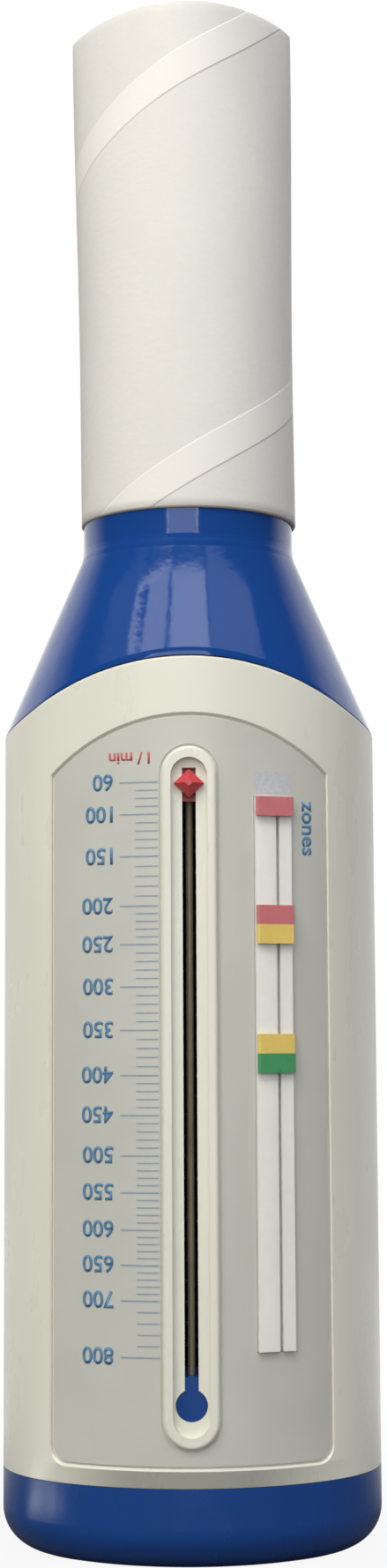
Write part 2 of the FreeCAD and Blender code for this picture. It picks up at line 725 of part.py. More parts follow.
rod_hole = new_sketch(spider, "XY_Plane", "bore_high + flange")
circle(rod_hole, "0", "0", "rod_radius")
pocket(spider, rod_hole, "inlet_skirt + flange")
node("inlet_spider", spider)

# cylinder_base: closes the foot of the cylinder, seats the spring and holds the rod

foot = new_body("cylinder_base")
revolve(foot, [
    ("rod_radius", "rod_low - 0.1"),
    ("cup_radius", "rod_low - 0.1"),
    ("cup_radius", "bore_low - flange"),
    ("bore_radius + bore_wall", "bore_low - flange"),
    ("bore_radius + bore_wall", "bore_low"),
    ("bore_radius - plug_gap", "bore_low"),
    ("bore_radius - plug_gap", "bore_low + 3"),
    ("bore_radius - plug_gap - skirt_wall", "bore_low + 3"),
    ("bore_radius - plug_gap - skirt_wall", "bore_low"),
    ("cup_radius - 1", "bore_low"),
    ("cup_radius - 1", "seat"),
    ("rod_radius", "seat"),
])
outlet_sketch = new_sketch(foot, "XY_Plane", "bore_low + 0.5")
rectangle(outlet_sketch, ("outlet_low", "outlet_high"), ("-outlet_half", "outlet_half"))
around(foot, pocket(foot, outlet_sketch, "flange + 1"), 8)
node("cylinder_base", foot)

# cylinder_seal: soft ring between the spider's flange and the moulding's seat

seal = new_body("cylinder_seal")
revolve(seal, [("duct_radius + 0.3", "bore_high + flange"), ("bore_radius + bore_wall", "bore_high + flange"),
               ("bore_radius + bore_wall", "seat_high"),
               ("duct_radius + 0.3", "seat_high")])
node("cylinder_seal", seal)

# guide_rod with its clip and stop

rod = new_body("guide_rod")
clip_low = "bore_high + flange"
revolve(rod, [
    ("0", "rod_low"), ("rod_radius - rod_end", "rod_low"), ("rod_radius", "rod_low + rod_end"),
    ("rod_radius", clip_low), ("clip_groove", clip_low), ("clip_groove", clip_low + " + clip_thick + 0.05"),
    ("rod_radius", clip_low + " + clip_thick + 0.05"), ("rod_radius", "rod_high - rod_end"),
    ("rod_radius - rod_end", "rod_high"), ("0", "rod_high"),
])
node("guide_rod", rod)

clip = new_body("rod_clip")
clip_sketch = new_sketch(clip, "XY_Plane", clip_low)
circle(clip_sketch, "0", "0", "clip_radius")
pad(clip, clip_sketch, "clip_thick")
clip_eye = new_sketch(clip, "XY_Plane", clip_low + " + clip_thick")
circle(clip_eye, "0", "0", "clip_groove")
pocket(clip, clip_eye, "clip_thick")
clip_mouth = new_sketch(clip, "XY_Plane", clip_low + " + clip_thick")
rectangle(clip_mouth, ("0", "clip_radius + 1"), ("-clip_groove * 0.85", "clip_groove * 0.85"))
pocket(clip, clip_mouth, "clip_thick")
node("rod_clip", clip)

stop = new_body("bump_stop")
revolve(stop, [("rod_radius", "bore_high - inlet_skirt - stop_thick"),
               ("hub_radius", "bore_high - inlet_skirt - stop_thick"),
               ("hub_radius", "bore_high - inlet_skirt"), ("rod_radius", "bore_high - inlet_skirt")])
node("bump_stop", stop)

# piston: disc with skirt and ribs, bush on the rod, pusher through the port, rivet

disc = new_body("piston_disc")
revolve(disc, [
    ("bush_radius", "piston_top - piston_plate"),
    ("bore_radius - piston_gap - 1", "piston_top - piston_plate"),
    ("bore_radius - piston_gap - 1", "piston_top - piston_skirt"),
    ("bore_radius - piston_gap", "piston_top - piston_skirt"),
    ("bore_radius - piston_gap", "piston_top"),
    ("bush_radius", "piston_top"),
])
rib_sketch = new_sketch(disc, "XY_Plane", "piston_top - piston_plate - 1.4")
rectangle(rib_sketch, ("5", "bore_radius - piston_gap - 0.5"), ("-piston_rib / 2", "piston_rib / 2"))
rib_pad = pad(disc, rib_sketch, "1.5")
around(disc, rib_pad, 6)
notch = new_sketch(disc, "XZ_Plane", "bore_radius - 2.4")
rectangle(notch, ("-pusher_half - 0.1", "pusher_half + 0.1"),
          ("piston_top - piston_skirt - 1", "piston_top - piston_plate"))
pocket(disc, notch, "4", True)
rivet_hole = new_sketch(disc, "XY_Plane", "piston_top + 0.1")
circle(rivet_hole, "0", "-rivet_offset", "rivet_radius")
pocket(disc, rivet_hole, "piston_plate + 0.2")
node("piston_disc", disc)

bush = new_body("piston_bush")
revolve(bush, [
    ("rod_radius + bush_gap", "piston_top + bush_flange - bush_length"),
    ("bush_radius", "piston_top + bush_flange - bush_length"),
    ("bush_radius", "piston_top"), ("bush_flange_radius", "piston_top"),
    ("bush_flange_radius", "piston_top + bush_flange"), ("rod_radius + bush_gap", "piston_top + bush_flange"),
])
node("piston_bush", bush)

pusher = new_body("piston_pusher")
arm_top = "piston_top - piston_plate"
pusher_sketch = new_sketch(pusher, "YZ_Plane", "-pusher_half")
polygon(pusher_sketch, [
    ("-pusher_tail", arm_top), ("-pusher_front", arm_top), ("-pusher_front", "pusher_foot"),
    ("-pusher_back", "pusher_foot"), ("-pusher_back", arm_top + " - pusher_arm"),
    ("-pusher_tail", arm_top + " - pusher_arm"),
])
pad(pusher, pusher_sketch, "pusher_half * 2")
pin_hole = new_sketch(pusher, "XY_Plane", arm_top)
circle(pin_hole, "0", "-rivet_offset", "rivet_radius")
pocket(pusher, pin_hole, "pusher_arm")
node("piston_pusher", pusher)

rivet = new_body("pusher_rivet")
rivet_low = arm_top + " - pusher_arm"
for low, high, radius in ((rivet_low, "piston_top", "rivet_radius"),
                          ("piston_top", "piston_top + rivet_dome", "rivet_head"),
                          (rivet_low + " - rivet_dome", rivet_low, "rivet_foot")):
    rivet_sketch = new_sketch(rivet, "XY_Plane", low)
    circle(rivet_sketch, "0", "-rivet_offset", radius)
    pad(rivet, rivet_sketch, "(%s) - (%s)" % (high, low))
node("pusher_rivet", rivet)

# return_spring: thin wire on a helix, from the seat to the underside of the piston

wire = val("coil_wire")
coil = val("coil_radius")
spring_low = val("seat") + wire
spring_high = val("piston_under") - wire
rise = spring_high - spring_low
helix = Part.makeHelix(rise / val("coil_count"), rise, coil)
helix.translate(V(0, 0, spring_low))
turns = [math.radians(60 * n + 30) for n in range(7)]
ring = Part.makePolygon([V(coil + wire * math.cos(a), 0, spring_low + wire * math.sin(a)) for a in turns])
node("return_spring", feature("return_spring", Part.Wire(helix.Edges).makePipeShell([ring], True, True)))

# mouthpiece_tube: straight paper tube on the spigot

tube = new_body("mouthpiece_tube")
revolve(tube, [("tube_radius - tube_wall", "rim"), ("tube_radius", "rim"), ("tube_radius", "tube_top"),
               ("tube_radius - tube_wall", "tube_top")])
node("mouthpiece_tube", tube)

# pointer: faceted head in the trough, stem through the slot, slider on the wire behind it

head = new_body("pointer_head")
diamond = [("0", "pointer_zero - pointer_half_height"), ("pointer_half_width", "pointer_zero"),
           ("0", "pointer_zero + pointer_half_height"), ("-pointer_half_width", "pointer_zero")]
head_base = "trough_floor + 0.1"
head_sketch = new_sketch(head, "XZ_Plane", head_base)
polygon(head_sketch, diamond)
pad(head, head_sketch, "pointer_edge")
facet_low = new_sketch(head, "XZ_Plane", head_base + " + pointer_edge")
polygon(facet_low, diamond)
facet_high = new_sketch(head, "XZ_Plane", head_base + " + pointer_edge + pointer_point")
polygon(facet_high, [("0", "pointer_zero - pointer_half_height / 4"),
                     ("pointer_half_width / 4", "pointer_zero"),
                     ("0", "pointer_zero + pointer_half_height / 4"),
                     ("-pointer_half_width / 4", "pointer_zero")])
facets = head.newObject("PartDesign::AdditiveLoft", "pointer_facets")
facets.Profile = facet_low
facets.Sections = [facet_high]
facets.Ruled = True
stem_sketch = new_sketch(head, "XZ_Plane", "stem_back")
rectangle(stem_sketch, ("-stem_half", "stem_half"),
          ("pointer_zero - stem_half_height", "pointer_zero + stem_half_height"))
pad(head, stem_sketch, "trough_floor + 0.3 - stem_back")
node("pointer_head", head)

slider = new_body("pointer_slider")
slider_sketch = new_sketch(slider, "XZ_Plane", "slider_back")
rectangle(slider_sketch, ("-slider_half", "slider_half"),
          ("pointer_zero - slider_half_height", "pointer_zero + slider_half_height"))
pad(slider, slider_sketch, "slider_front - slider_back")
stem_room = new_sketch(slider, "XZ_Plane", "slider_front")
rectangle(stem_room, ("-stem_half", "stem_half"),
          ("pointer_zero - stem_half_height", "pointer_zero + stem_half_height"))
pocket(slider, stem_room, "slider_front - stem_back")
wire_room = new_sketch(slider, "XY_Plane", "pointer_zero + slider_half_height")
circle(wire_room, "0", "-wire_offset", "wire_radius + wire_gap")
pocket(slider, wire_room, "slider_half_height * 2")
node("pointer_slider", slider)

guide = new_body("pointer_guide_wire")
guide_sketch = new_sketch(guide, "XY_Plane", "keyhole + 1")
circle(guide_sketch, "0", "-wire_offset", "wire_radius")
pad(guide, guide_sketch, "wire_high - keyhole - 1")
node("pointer_guide_wire", guide)

# zone_track: white rail with a T-shaped groove, and the coloured markers that slide in it

track_points = [
    ("-rail_half", "rail_back"), ("rail_half", "rail_back"), ("rail_half", "-rail_front"),
    ("groove_place + groove_half", "-rail_front"), ("groove_place + groove_half", "-rail_front + rail_lip"),
    ("groove_place + groove_wide", "-rail_front + rail_lip"),
    ("groove_place + groove_wide", "-rail_front + rail_lip + groove_deep"),
    ("groove_place - groove_wide", "-rail_front + rail_lip + groove_deep"),
    ("groove_place - groove_wide", "-rail_front + rail_lip"),
    ("groove_place - groove_half", "-rail_front + rail_lip"),
    ("groove_place - groove_half", "-rail_front"), ("-rail_half", "-rail_front"),
]
node("zone_track", rail_body("zone_track", track_points, "rail_low", "rail_high"))

marker_under = "-rail_front - marker_gap"
marker_face = "-rail_front - marker_gap - marker_thick"
marker_neck = "-rail_front + rail_lip + marker_gap"
marker_deep = "-rail_front + rail_lip + groove_deep - marker_gap"
marker_points = [
    ("-marker_half", marker_face + " + marker_edge"), ("-marker_half + marker_edge", marker_face),
    ("marker_half - marker_edge", marker_face), ("marker_half", marker_face + " + marker_edge"),
    ("marker_half", marker_under), ("groove_place + groove_half - marker_gap", marker_under),
    ("groove_place + groove_half - marker_gap", marker_neck),
    ("groove_place + groove_wide - marker_gap", marker_neck),
    ("groove_place + groove_wide - marker_gap", marker_deep),
    ("groove_place - groove_wide + marker_gap", marker_deep),
    ("groove_place - groove_wide + marker_gap", marker_neck),
    ("groove_place - groove_half + marker_gap", marker_neck),
    ("groove_place - groove_half + marker_gap", marker_under), ("-marker_half", marker_under),
]
MARKERS = (
    ("marker_red_top", "top_marker", 0),
    ("marker_yellow_upper", "upper_marker", 0),
    ("marker_red_upper", "upper_marker", 1),
    ("marker_green_lower", "lower_marker", 0),
    ("marker_yellow_lower", "lower_marker", 1),
)
for name, foot_of, place in MARKERS:
    marker_low = "%s + %d * marker_length" % (foot_of, place)
    node(name, rail_body(name, marker_points, marker_low, marker_low + " + marker_length"))

doc.recompute()

bad = []
for thing in doc.Objects:
    if "Invalid" in thing.State or "Error" in thing.State:
        bad.append("%s %s" % (thing.Label, thing.State))
for name, thing in NODES.items():
    shape = thing.Shape
    if shape.isNull() or not shape.isValid() or shape.Volume <= 0:
        bad.append("%s has no valid shape" % name)
if bad:
    raise RuntimeError("; ".join(bad))

os.makedirs("parts", exist_ok=True)
for name, thing in NODES.items():
    thing.Shape.exportStep("parts/%s.step" % name)
    print("%-22s solids %d  volume %8.1f  faces %3d" % (name, len(thing.Shape.Solids), thing.Shape.Volume,
                                                      len(thing.Shape.Faces)))
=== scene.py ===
"""Peak flow meter: surfaces, print, paper tube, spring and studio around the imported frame."""

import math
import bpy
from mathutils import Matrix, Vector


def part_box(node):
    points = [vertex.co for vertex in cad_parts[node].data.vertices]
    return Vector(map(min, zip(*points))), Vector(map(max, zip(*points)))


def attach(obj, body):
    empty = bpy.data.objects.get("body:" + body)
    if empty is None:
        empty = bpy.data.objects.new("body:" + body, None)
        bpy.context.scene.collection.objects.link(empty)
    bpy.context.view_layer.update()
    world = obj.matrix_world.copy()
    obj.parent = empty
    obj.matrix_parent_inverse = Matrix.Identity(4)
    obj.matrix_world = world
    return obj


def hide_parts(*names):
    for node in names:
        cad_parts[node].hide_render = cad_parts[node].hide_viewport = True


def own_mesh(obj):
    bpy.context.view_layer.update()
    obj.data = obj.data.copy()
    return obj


bl_info = {
    "name": "Peak flow meter",
    "version": (1, 0, 0),
    "blender": (4, 5, 0),
    "location": "View3D > Sidebar > Flow meter",
    "description": "Dresses the packed frame of a hand-held peak flow meter and sets it in a plain studio",
    "category": "Object",
}

import bmesh
import bpy
from bpy.props import FloatProperty, FloatVectorProperty, IntProperty, PointerProperty
from mathutils import Matrix, Vector

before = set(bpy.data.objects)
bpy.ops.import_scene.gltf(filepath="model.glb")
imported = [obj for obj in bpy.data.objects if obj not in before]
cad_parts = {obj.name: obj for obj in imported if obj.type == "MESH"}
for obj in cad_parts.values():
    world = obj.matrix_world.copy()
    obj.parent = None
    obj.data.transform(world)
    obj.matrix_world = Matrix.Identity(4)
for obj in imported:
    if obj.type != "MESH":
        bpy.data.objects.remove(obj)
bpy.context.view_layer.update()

TUBE_LOW, TUBE_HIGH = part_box("mouthpiece_tube")
SPRING_LOW, SPRING_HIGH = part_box("return_spring")
COVER_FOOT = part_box("front_cover")[0].z
LABEL_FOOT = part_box("scale_label")[0].z

# The body's section is four tangent arcs. The front arc carries the panel: its radius, and its centre on Y.
FRONT_ARC = 0.02935
FRONT_CENTRE = 0.008

# The hollow blend under the spigot: its middle on Z, its reach above and below, and its depth. BLEND_ROUND is
# how softly its two sides meet.
NECK_BLEND = (0.1342, 0.005, 0.0075, 0.00046)
BLEND_ROUND = 0.0009
# The cover's foot under the panel looks turned in by this depth; it fades out between two distances from the
# middle, and ends this gap under the panel.
FOOT_TURN = 0.0015
FOOT_FADE = (0.008, 0.021)
FOOT_GAP = 0.0003

# Litres a minute and the height of each long mark above the base; the spacing isn't even.
MARKS = (
    (60, 0.10072), (100, 0.09652), (150, 0.09102), (200, 0.08455), (250, 0.07955),
    (300, 0.07405), (350, 0.06846), (400, 0.06263), (450, 0.05751), (500, 0.05236),
    (550, 0.04765), (600, 0.04292), (650, 0.03844), (700, 0.03396), (800, 0.02684),
)
# Litres a minute between short marks, and between those before the last number.
MARK_GAP = 10
LAST_GAP = 20
# Height and width of a digit's outline at text size 1.
DIGIT_TALL = 0.70
DIGIT_SPREAD = 0.92
# The pale patch above the rail: left, right, low, high and the radius of its corners.
PATCH = (0.00855, 0.01345, 0.09935, 0.1022, 0.0004)

# A window in front with bright sides, a lamp over it, a large soft lamp at the upper left, one behind, and a
# small card by the foot: name, the brightness taken and the share of it, size, place, aim, colour, and the
# rays that miss it.
WHITE = (1.0, 1.0, 1.0)
WARM = (1.0, 0.955, 0.7)
LAMPS = (
    ("low_window", "low_window", 1, (0.56, 0.6), (-0.12, -1.05, 0.36), (-0.12, 0, 0.36), WHITE, ()),
    ("low_window_left", "low_window", 3, (0.03, 0.6), (-0.43, -1.05, 0.36), (-0.43, 0, 0.36), WHITE, ()),
    ("low_window_right", "low_window", 3, (0.03, 0.6), (0.19, -1.05, 0.36), (0.19, 0, 0.36), WHITE, ()),
    ("top_lamp", "top", 1, (0.4, 0.25), (-0.06, -0.3, 0.55), (0, 0, 0.15), WHITE, ("glossy",)),
    ("soft_key", "key", 1, (0.5, 0.5), (-0.46, -0.62, 0.62), (0, 0, 0.12), WARM, ("glossy",)),
    ("back_lamp", "back", 1, (0.7, 0.7), (0.35, 0.95, 0.6), (0, 0, 0.1), WHITE, ("glossy", "camera")),
    ("low_card", "card", 1, (0.028, 0.028), (-0.064, -0.0155, 0.0008), (-0.064, -0.0155, 1), WHITE,
     ("camera", "diffuse")),
)
# Fields of the room that glosses show: share of the panes' brightness, then two turns from the front and two
# rises, in degrees.
PANES = (
    (1.0, -20, 22, 51.5, 90), (0.85, -48, -24, 51.5, 90), (0.3, 24, 74, 47.5, 90),
    (0.1, -100, -53, 44, 90), (1.2, -62, -20, 50, 51.5),
)
# Half widths of the fields' soft edges: turns in radians, rises as sines.
PANE_SOFT_TURN = 0.012
PANE_SOFT_RISE = 0.006
# Where the floor and the room turn white for glosses, on Y. The floor fades from one share of plain white to
# another between two distances from the foot.
FLOOR_BEHIND = (0.01, 0.1)
ROOM_BEHIND = (0.25, 0.6)
FLOOR_WHITE = (0.93, 1.0)
FLOOR_FADE = (0.025, 0.12)
FLOOR_GREY = (0.12, 0.12, 0.12, 1)
FLOOR_REACH = 4.0


def srgb(text):
    """An sRGB hex colour as linear red, green, blue and alpha."""
    parts = [int(text[n:n + 2], 16) / 255 for n in (1, 3, 5)]
    return [c / 12.92 if c <= 0.04045 else ((c + 0.055) / 1.055) ** 2.4 for c in parts] + [1.0]


def length(name, default, description):
    return FloatProperty(name=name, description=description, default=default, min=0.0, unit="LENGTH",
                         precision=5)


def fraction(name, default, description, most=1.0):
    return FloatProperty(name=name, description=description, default=default, min=0.0, max=most,
                         subtype="FACTOR")


def degrees(name, default, description):
    return FloatProperty(name=name, description=description, default=math.radians(default), subtype="ANGLE")


def number(name, default, description):
    return FloatProperty(name=name, description=description, default=default)


def colour(name, default, description):
    return FloatVectorProperty(name=name, description=description, default=srgb(default), size=4, min=0.0,
                               max=1.0, subtype="COLOR")


class MouthpieceSizes(bpy.types.PropertyGroup):
    radius: length("Outer radius", TUBE_HIGH.x, "Outside radius of the round end on the spigot")
    wall: length("Wall", 0.001, "Thickness of the wound paper wall")
    edge: length("Edge round", 0.00025, "Softness of the cut ends")
    squash_start: length("Oval from", 0.158, "Height at which the tube starts to be squeezed oval")
    squash: fraction("Oval share", 0.04, "How far the open end is squeezed, as a share of the radius", 0.2)
    pinch: fraction("Pinch", 0.75, "How far the open end is pressed from round to a lens")
    skew: degrees("Cut slope", 2.1, "How far the open end is cut out of square")
    lean: degrees("Lean", 0.57, "How far the pushed-on tube leans to the left")
    pivot: length("Lean from", 0.01, "Height over the tube's foot about which it leans")
    seam_start: length("Seam height", 0.1444, "Height of the spiral seam at the middle of the front")
    seam_pitch: length("Seam pitch", 0.0565, "Rise of the spiral seam in one turn")
    seam_width: length("Seam width", 0.0052, "Height of the paper strip that shows at the seam")


class ScaleSizes(bpy.types.PropertyGroup):
    digit_height: length("Digit height", 0.0021, "Height of the printed numbers")
    digit_edge: length("Digit edge", 0.0100, "Distance of the numbers' near edge from the middle line")
    mark_start: length("Mark start", 0.00405, "Distance of the marks' near end from the middle line")
    long_mark: length("Long mark", 0.00505, "Length of the numbered marks")
    short_mark: length("Short mark", 0.00295, "Length of the marks between")
    long_width: length("Long mark width", 0.00020, "Width of the numbered marks")
    short_width: length("Short mark width", 0.00016, "Width of the marks between")
    unit_edge: length("Unit edge", 0.0051, "Distance of the printed unit's near edge from the middle line")
    unit_length: length("Unit length", 0.0054, "Length of the printed unit")
    unit_middle: length("Unit height", 0.1039, "Height of the printed unit above the base")
    zone_middle: length("Zone word, side", 0.0155, "Distance of the rail's word from the middle line")
    zone_top: length("Zone word, top", 0.0985, "Height of the upper end of the rail's word")
    zone_length: length("Zone word, length", 0.0072, "Length of the rail's word")
    digit_rise: length("Digit rise", 0.0001, "Height of the numbers' middle over their marks")
    unit_height: length("Unit letters", 0.0016, "Height of the printed unit's letters")
    zone_height: length("Zone letters", 0.0013, "Height of the letters of the rail's word")
    weight: number("Weight", 0.02, "How much thicker the letters' strokes are drawn")
    lift: length("Lift", 0.000035, "Height of the ink's face over the panel")
    ink: length("Ink", 0.00002, "Thickness of the print")


class SpringSizes(bpy.types.PropertyGroup):
    turns: IntProperty(name="Turns", description="Turns of the return spring", default=40, min=5)
    radius: length("Coil radius", 0.00335, "Radius of the coil at the middle of the wire")
    wire: length("Wire radius", 0.00026, "Radius of the spring wire")
    end_share: fraction("End turns", 0.06, "Share of the turns that lie close at each end", 0.4)
    end_rise: fraction("End rise", 0.014, "Share of the height that the close turns fill at each end", 0.4)


class FinishColours(bpy.types.PropertyGroup):
    blue: colour("Blue ABS", "#103F87", "Glossy blue of the body, the cap and the cylinder")
    cream: colour("Cream ABS", "#E2E1D6", "Off-white of the front cover")
    panel: colour("Panel grey", "#C4C4BE", "Grey of the printed scale panel")
    rail: colour("Rail white", "#F3F3EF", "White of the zone rail")
    paper: colour("Paper white", "#E1DEDB", "White paper of the mouthpiece tube")
    board: colour("Board edge", "#D9D0C0", "Raw paper at the tube's cut ends")
    number_ink: colour("Number ink", "#5480A6", "Blue of the printed numbers")
    mark_ink: colour("Mark ink", "#909FB0", "Blue-grey of the printed marks")
    unit_ink: colour("Unit ink", "#C4575C", "Red of the printed unit")
    patch_ink: colour("Patch ink", "#BDC1C8", "Faint blue-grey patch over the rail")
    red: colour("Pointer red", "#C8454B", "Red of the pointer")
    zone_red: colour("Zone red", "#C9757A", "Red of the zone markers")
    zone_yellow: colour("Zone yellow", "#E6C86E", "Yellow of the zone markers")
    zone_green: colour("Zone green", "#469663", "Green of the zone markers")
    white: colour("Inner white", "#E2E2DE", "White of the piston and the inner mouldings")
    steel: colour("Steel", "#A9ABAD", "Colour of the rod and the clip")
    wire: colour("Wire", "#968E78", "Browned steel of the pointer's guide wire")
    foam: colour("Seal foam", "#8F9194", "Grey of the foam seal")
    rubber: colour("Rubber", "#35363A", "Black of the soft stop")


class StudioSizes(bpy.types.PropertyGroup):
    distance: length("Camera distance", 0.34435, "Distance of the camera in front of the object's axis")
    height: length("Camera height", 0.0665, "Height of the camera above the base")
    side: FloatProperty(name="Camera side", description="Sideways place of the camera", default=0.00061,
                        unit="LENGTH")
    tilt: degrees("Camera tilt", 5.99, "How far the camera looks up")
    roll: degrees("Camera roll", -0.29, "Turn of the camera about its own axis")
    lens: number("Lens", 57.16, "Focal length for a 36 mm long side")
    low_window: number("Low window", 1.9, "Brightness of the window in front")
    panes: number("High panes", 2.9, "Brightness of the panes that glosses show high up")
    top: number("Top lamp", 5.2, "Brightness of the lamp that stands for the high panes")
    key: number("Key", 3.0, "Brightness of the large soft lamp at the upper left")
    room_left: number("Room, left", 0.48, "Strength of the room's light from the left")
    room_right: number("Room, right", 0.58, "Strength of the room's light from the right")
    back: number("Back lamp", 3.0, "Brightness of the soft lamp behind the object")
    card: number("Low card", 3.0, "Brightness of the small card by the foot that the cap shows")
    gloss: number("Room in glosses", 0.07, "How bright a gloss shows the room in front")


# Materials

def add(tree, kind, inputs=None, **settings):
    """Adds a node with its settings; its inputs, by name or in order, are values or the sockets to link."""
    node = tree.nodes.new(kind)
    for name, value in settings.items():
        setattr(node, name, value)
    if isinstance(inputs, list):
        inputs = dict(enumerate(inputs))
    for key, source in (inputs or {}).items():
        if isinstance(source, bpy.types.NodeSocket):
            tree.links.new(source, node.inputs[key])
        else:
            node.inputs[key].default_value = source
    return node


def start_finish(name, **values):
    """A new material with one shader and the object's own coordinates."""
    material = bpy.data.materials.new(name)
    material.use_nodes = True
    tree = material.node_tree
    tree.nodes.clear()
    inputs = {key.replace("_", " "): value for key, value in values.items()}
    shader = add(tree, "ShaderNodeBsdfPrincipled", inputs)
    add(tree, "ShaderNodeOutputMaterial", {"Surface": shader.outputs[0]})
    place = add(tree, "ShaderNodeTexCoord").outputs["Object"]
    return material, tree, shader, place


def grain(tree, place, size, detail=3.0, stretch=(1, 1, 1)):
    """Noise whose features are about size metres across, drawn out along an axis by stretch."""
    spread = add(tree, "ShaderNodeMapping", {"Vector": place, "Scale": [1 / (size * s) for s in stretch]})
    noise = add(tree, "ShaderNodeTexNoise", {"Vector": spread.outputs[0], "Scale": 1.0, "Detail": detail})
    return noise.outputs[0]


def between(tree, factor, low, high, start=0.3, stop=0.7):
    """Maps a factor that goes from start to stop to a value from low to high; noise keeps to the defaults."""
    return add(tree, "ShaderNodeMapRange", {"Value": factor, "From Min": start, "From Max": stop,
                                            "To Min": low, "To Max": high}).outputs[0]


def shade(value, share):
    """A colour made darker or lighter by a share."""
    return [min(1.0, c * share) for c in value[:3]] + [1.0]


def blend_colour(tree, factor, first, second):
    """The first colour where the factor is 0 and the second where it is 1."""
    return add(tree, "ShaderNodeMix", {0: factor, 6: first, 7: second}, data_type="RGBA").outputs[2]


def tint(tree, shader, factor, tone, low, high):
    """Colours the shader along a factor with the tone made darker or lighter by two shares."""
    mixed = blend_colour(tree, factor, shade(tone, low), shade(tone, high))
    tree.links.new(mixed, shader.inputs["Base Color"])


def dull(tree, shader, factor, low, high, *ends):
    """Sets the shader's roughness from low to high along a factor."""
    tree.links.new(between(tree, factor, low, high, *ends), shader.inputs["Roughness"])


def raise_by(tree, shader, height, distance, base=None):
    """Raises the surface by a bump of up to distance, over the bumps that base already holds."""
    bump = add(tree, "ShaderNodeBump", {"Height": height, "Distance": distance, "Strength": 1.0})
    if base:
        tree.links.new(base, bump.inputs["Normal"])
    tree.links.new(bump.outputs[0], shader.inputs["Normal"])
    return bump.outputs[0]


def moulded_abs(name, tone, rough, texture, drift=0.04, hollow=None, foot=None):
    """Moulded ABS: slow flow marks in the colour, a tool finish set by rough and texture, a few dull rubs.

    hollow is a blend as in NECK_BLEND; foot is the two heights between which the face looks turned in.
    """
    material, tree, shader, place = start_finish(name, IOR=1.53)
    slow = grain(tree, place, 0.014, 2.0, (1, 1, 2.5))
    tint(tree, shader, between(tree, slow, 0.0, 1.0), tone, 1 - drift, 1 + drift / 2)
    rubs = grain(tree, place, 0.0045, 5.0, (1, 1, 3))
    dull(tree, shader, rubs, rough * 0.85, rough * 1.35, 0.35, 0.75)
    fine = raise_by(tree, shader, grain(tree, place, texture, 2.0), texture * 0.012)
    fine = raise_by(tree, shader, slow, 0.00004, fine)
    if hollow:
        *blend, depth = hollow
        raise_by(tree, shader, filled_corner(tree, place, *blend), depth, fine)
    if foot:
        parts = add(tree, "ShaderNodeSeparateXYZ", [place]).outputs
        slope = between(tree, parts[2], -1.0, 0.0, *foot)
        across = add(tree, "ShaderNodeMath", [parts[0]], operation="ABSOLUTE").outputs[0]
        middle = between(tree, across, 1.0, 0.0, *FOOT_FADE)
        turned = add(tree, "ShaderNodeMath", [slope, middle], operation="MULTIPLY").outputs[0]
        raise_by(tree, shader, turned, FOOT_TURN, fine)
    return material


def filled_corner(tree, place, height, above, below):
    """1 at a height on Z, falling smoothly to 0 over the two reaches: a hollow blend in a turned corner."""
    z = add(tree, "ShaderNodeSeparateXYZ", [place]).outputs[2]
    off = add(tree, "ShaderNodeMath", [z, height], operation="SUBTRACT").outputs[0]
    square = add(tree, "ShaderNodeMath", [off, off, BLEND_ROUND ** 2], operation="MULTIPLY_ADD").outputs[0]
    far = add(tree, "ShaderNodeMath", [square], operation="SQRT").outputs[0]
    reach = between(tree, off, below, above, -BLEND_ROUND / 3, BLEND_ROUND / 3)
    share = add(tree, "ShaderNodeMath", [far, reach], operation="DIVIDE").outputs[0]
    left = add(tree, "ShaderNodeMath", [1.0, share], operation="SUBTRACT", use_clamp=True).outputs[0]
    return add(tree, "ShaderNodeMath", [left, left], operation="MULTIPLY").outputs[0]


def printed_panel(name, tone):
    """Satin polycarbonate sheet: a flat grey with a faint cloud in the ink and a fine texture on its face."""
    material, tree, shader, place = start_finish(name, IOR=1.58)
    cloud = grain(tree, place, 0.012, 3.0)
    tint(tree, shader, between(tree, cloud, 0.0, 1.0), tone, 0.96, 1.03)
    dull(tree, shader, grain(tree, place, 0.003, 4.0), 0.30, 0.40)
    raise_by(tree, shader, grain(tree, place, 0.00035, 2.0), 0.000004)
    return material


def screen_ink(name, tone):
    """Screen-printed ink: thin, satin, a little uneven where the mesh laid less of it."""
    material, tree, shader, place = start_finish(name, IOR=1.5)
    patchy = grain(tree, place, 0.0004, 3.0)
    tint(tree, shader, between(tree, patchy, 0.0, 1.0), tone, 0.92, 1.1)
    dull(tree, shader, patchy, 0.35, 0.5)
    return material


def small_moulding(name, tone, rough, mottle=0.05, soft=0.0):
    """Small moulded piece in acetal or styrene: waxy sheen, mottled colour, fine rubs; soft lets light in."""
    material, tree, shader, place = start_finish(name, IOR=1.49, Subsurface_Weight=soft, Subsurface_Scale=1.0,
                                                 Subsurface_Radius=(0.0025, 0.0025, 0.0024))
    cloud = grain(tree, place, 0.0016, 3.0)
    tint(tree, shader, between(tree, cloud, 0.0, 1.0), tone, 1 - mottle, 1 + mottle / 2)
    dull(tree, shader, grain(tree, place, 0.0008, 3.0), rough * 0.8, rough * 1.3)
    raise_by(tree, shader, grain(tree, place, 0.0006, 2.0), 0.000008)
    return material


def drawn_steel(name, tone, rough, bare=1.0):
    """Drawn steel: fine lines along it break up the highlight, slight staining; bare says how metallic."""
    material, tree, shader, place = start_finish(name, Metallic=bare)
    lines = grain(tree, place, 0.00012, 3.0, (1, 1, 60))
    stain = grain(tree, place, 0.005, 3.0)
    tint(tree, shader, between(tree, stain, 0.0, 1.0), tone, 0.82, 1.05)
    dull(tree, shader, lines, rough * 0.8, rough * 1.5)
    raise_by(tree, shader, lines, 0.0000015)
    return material


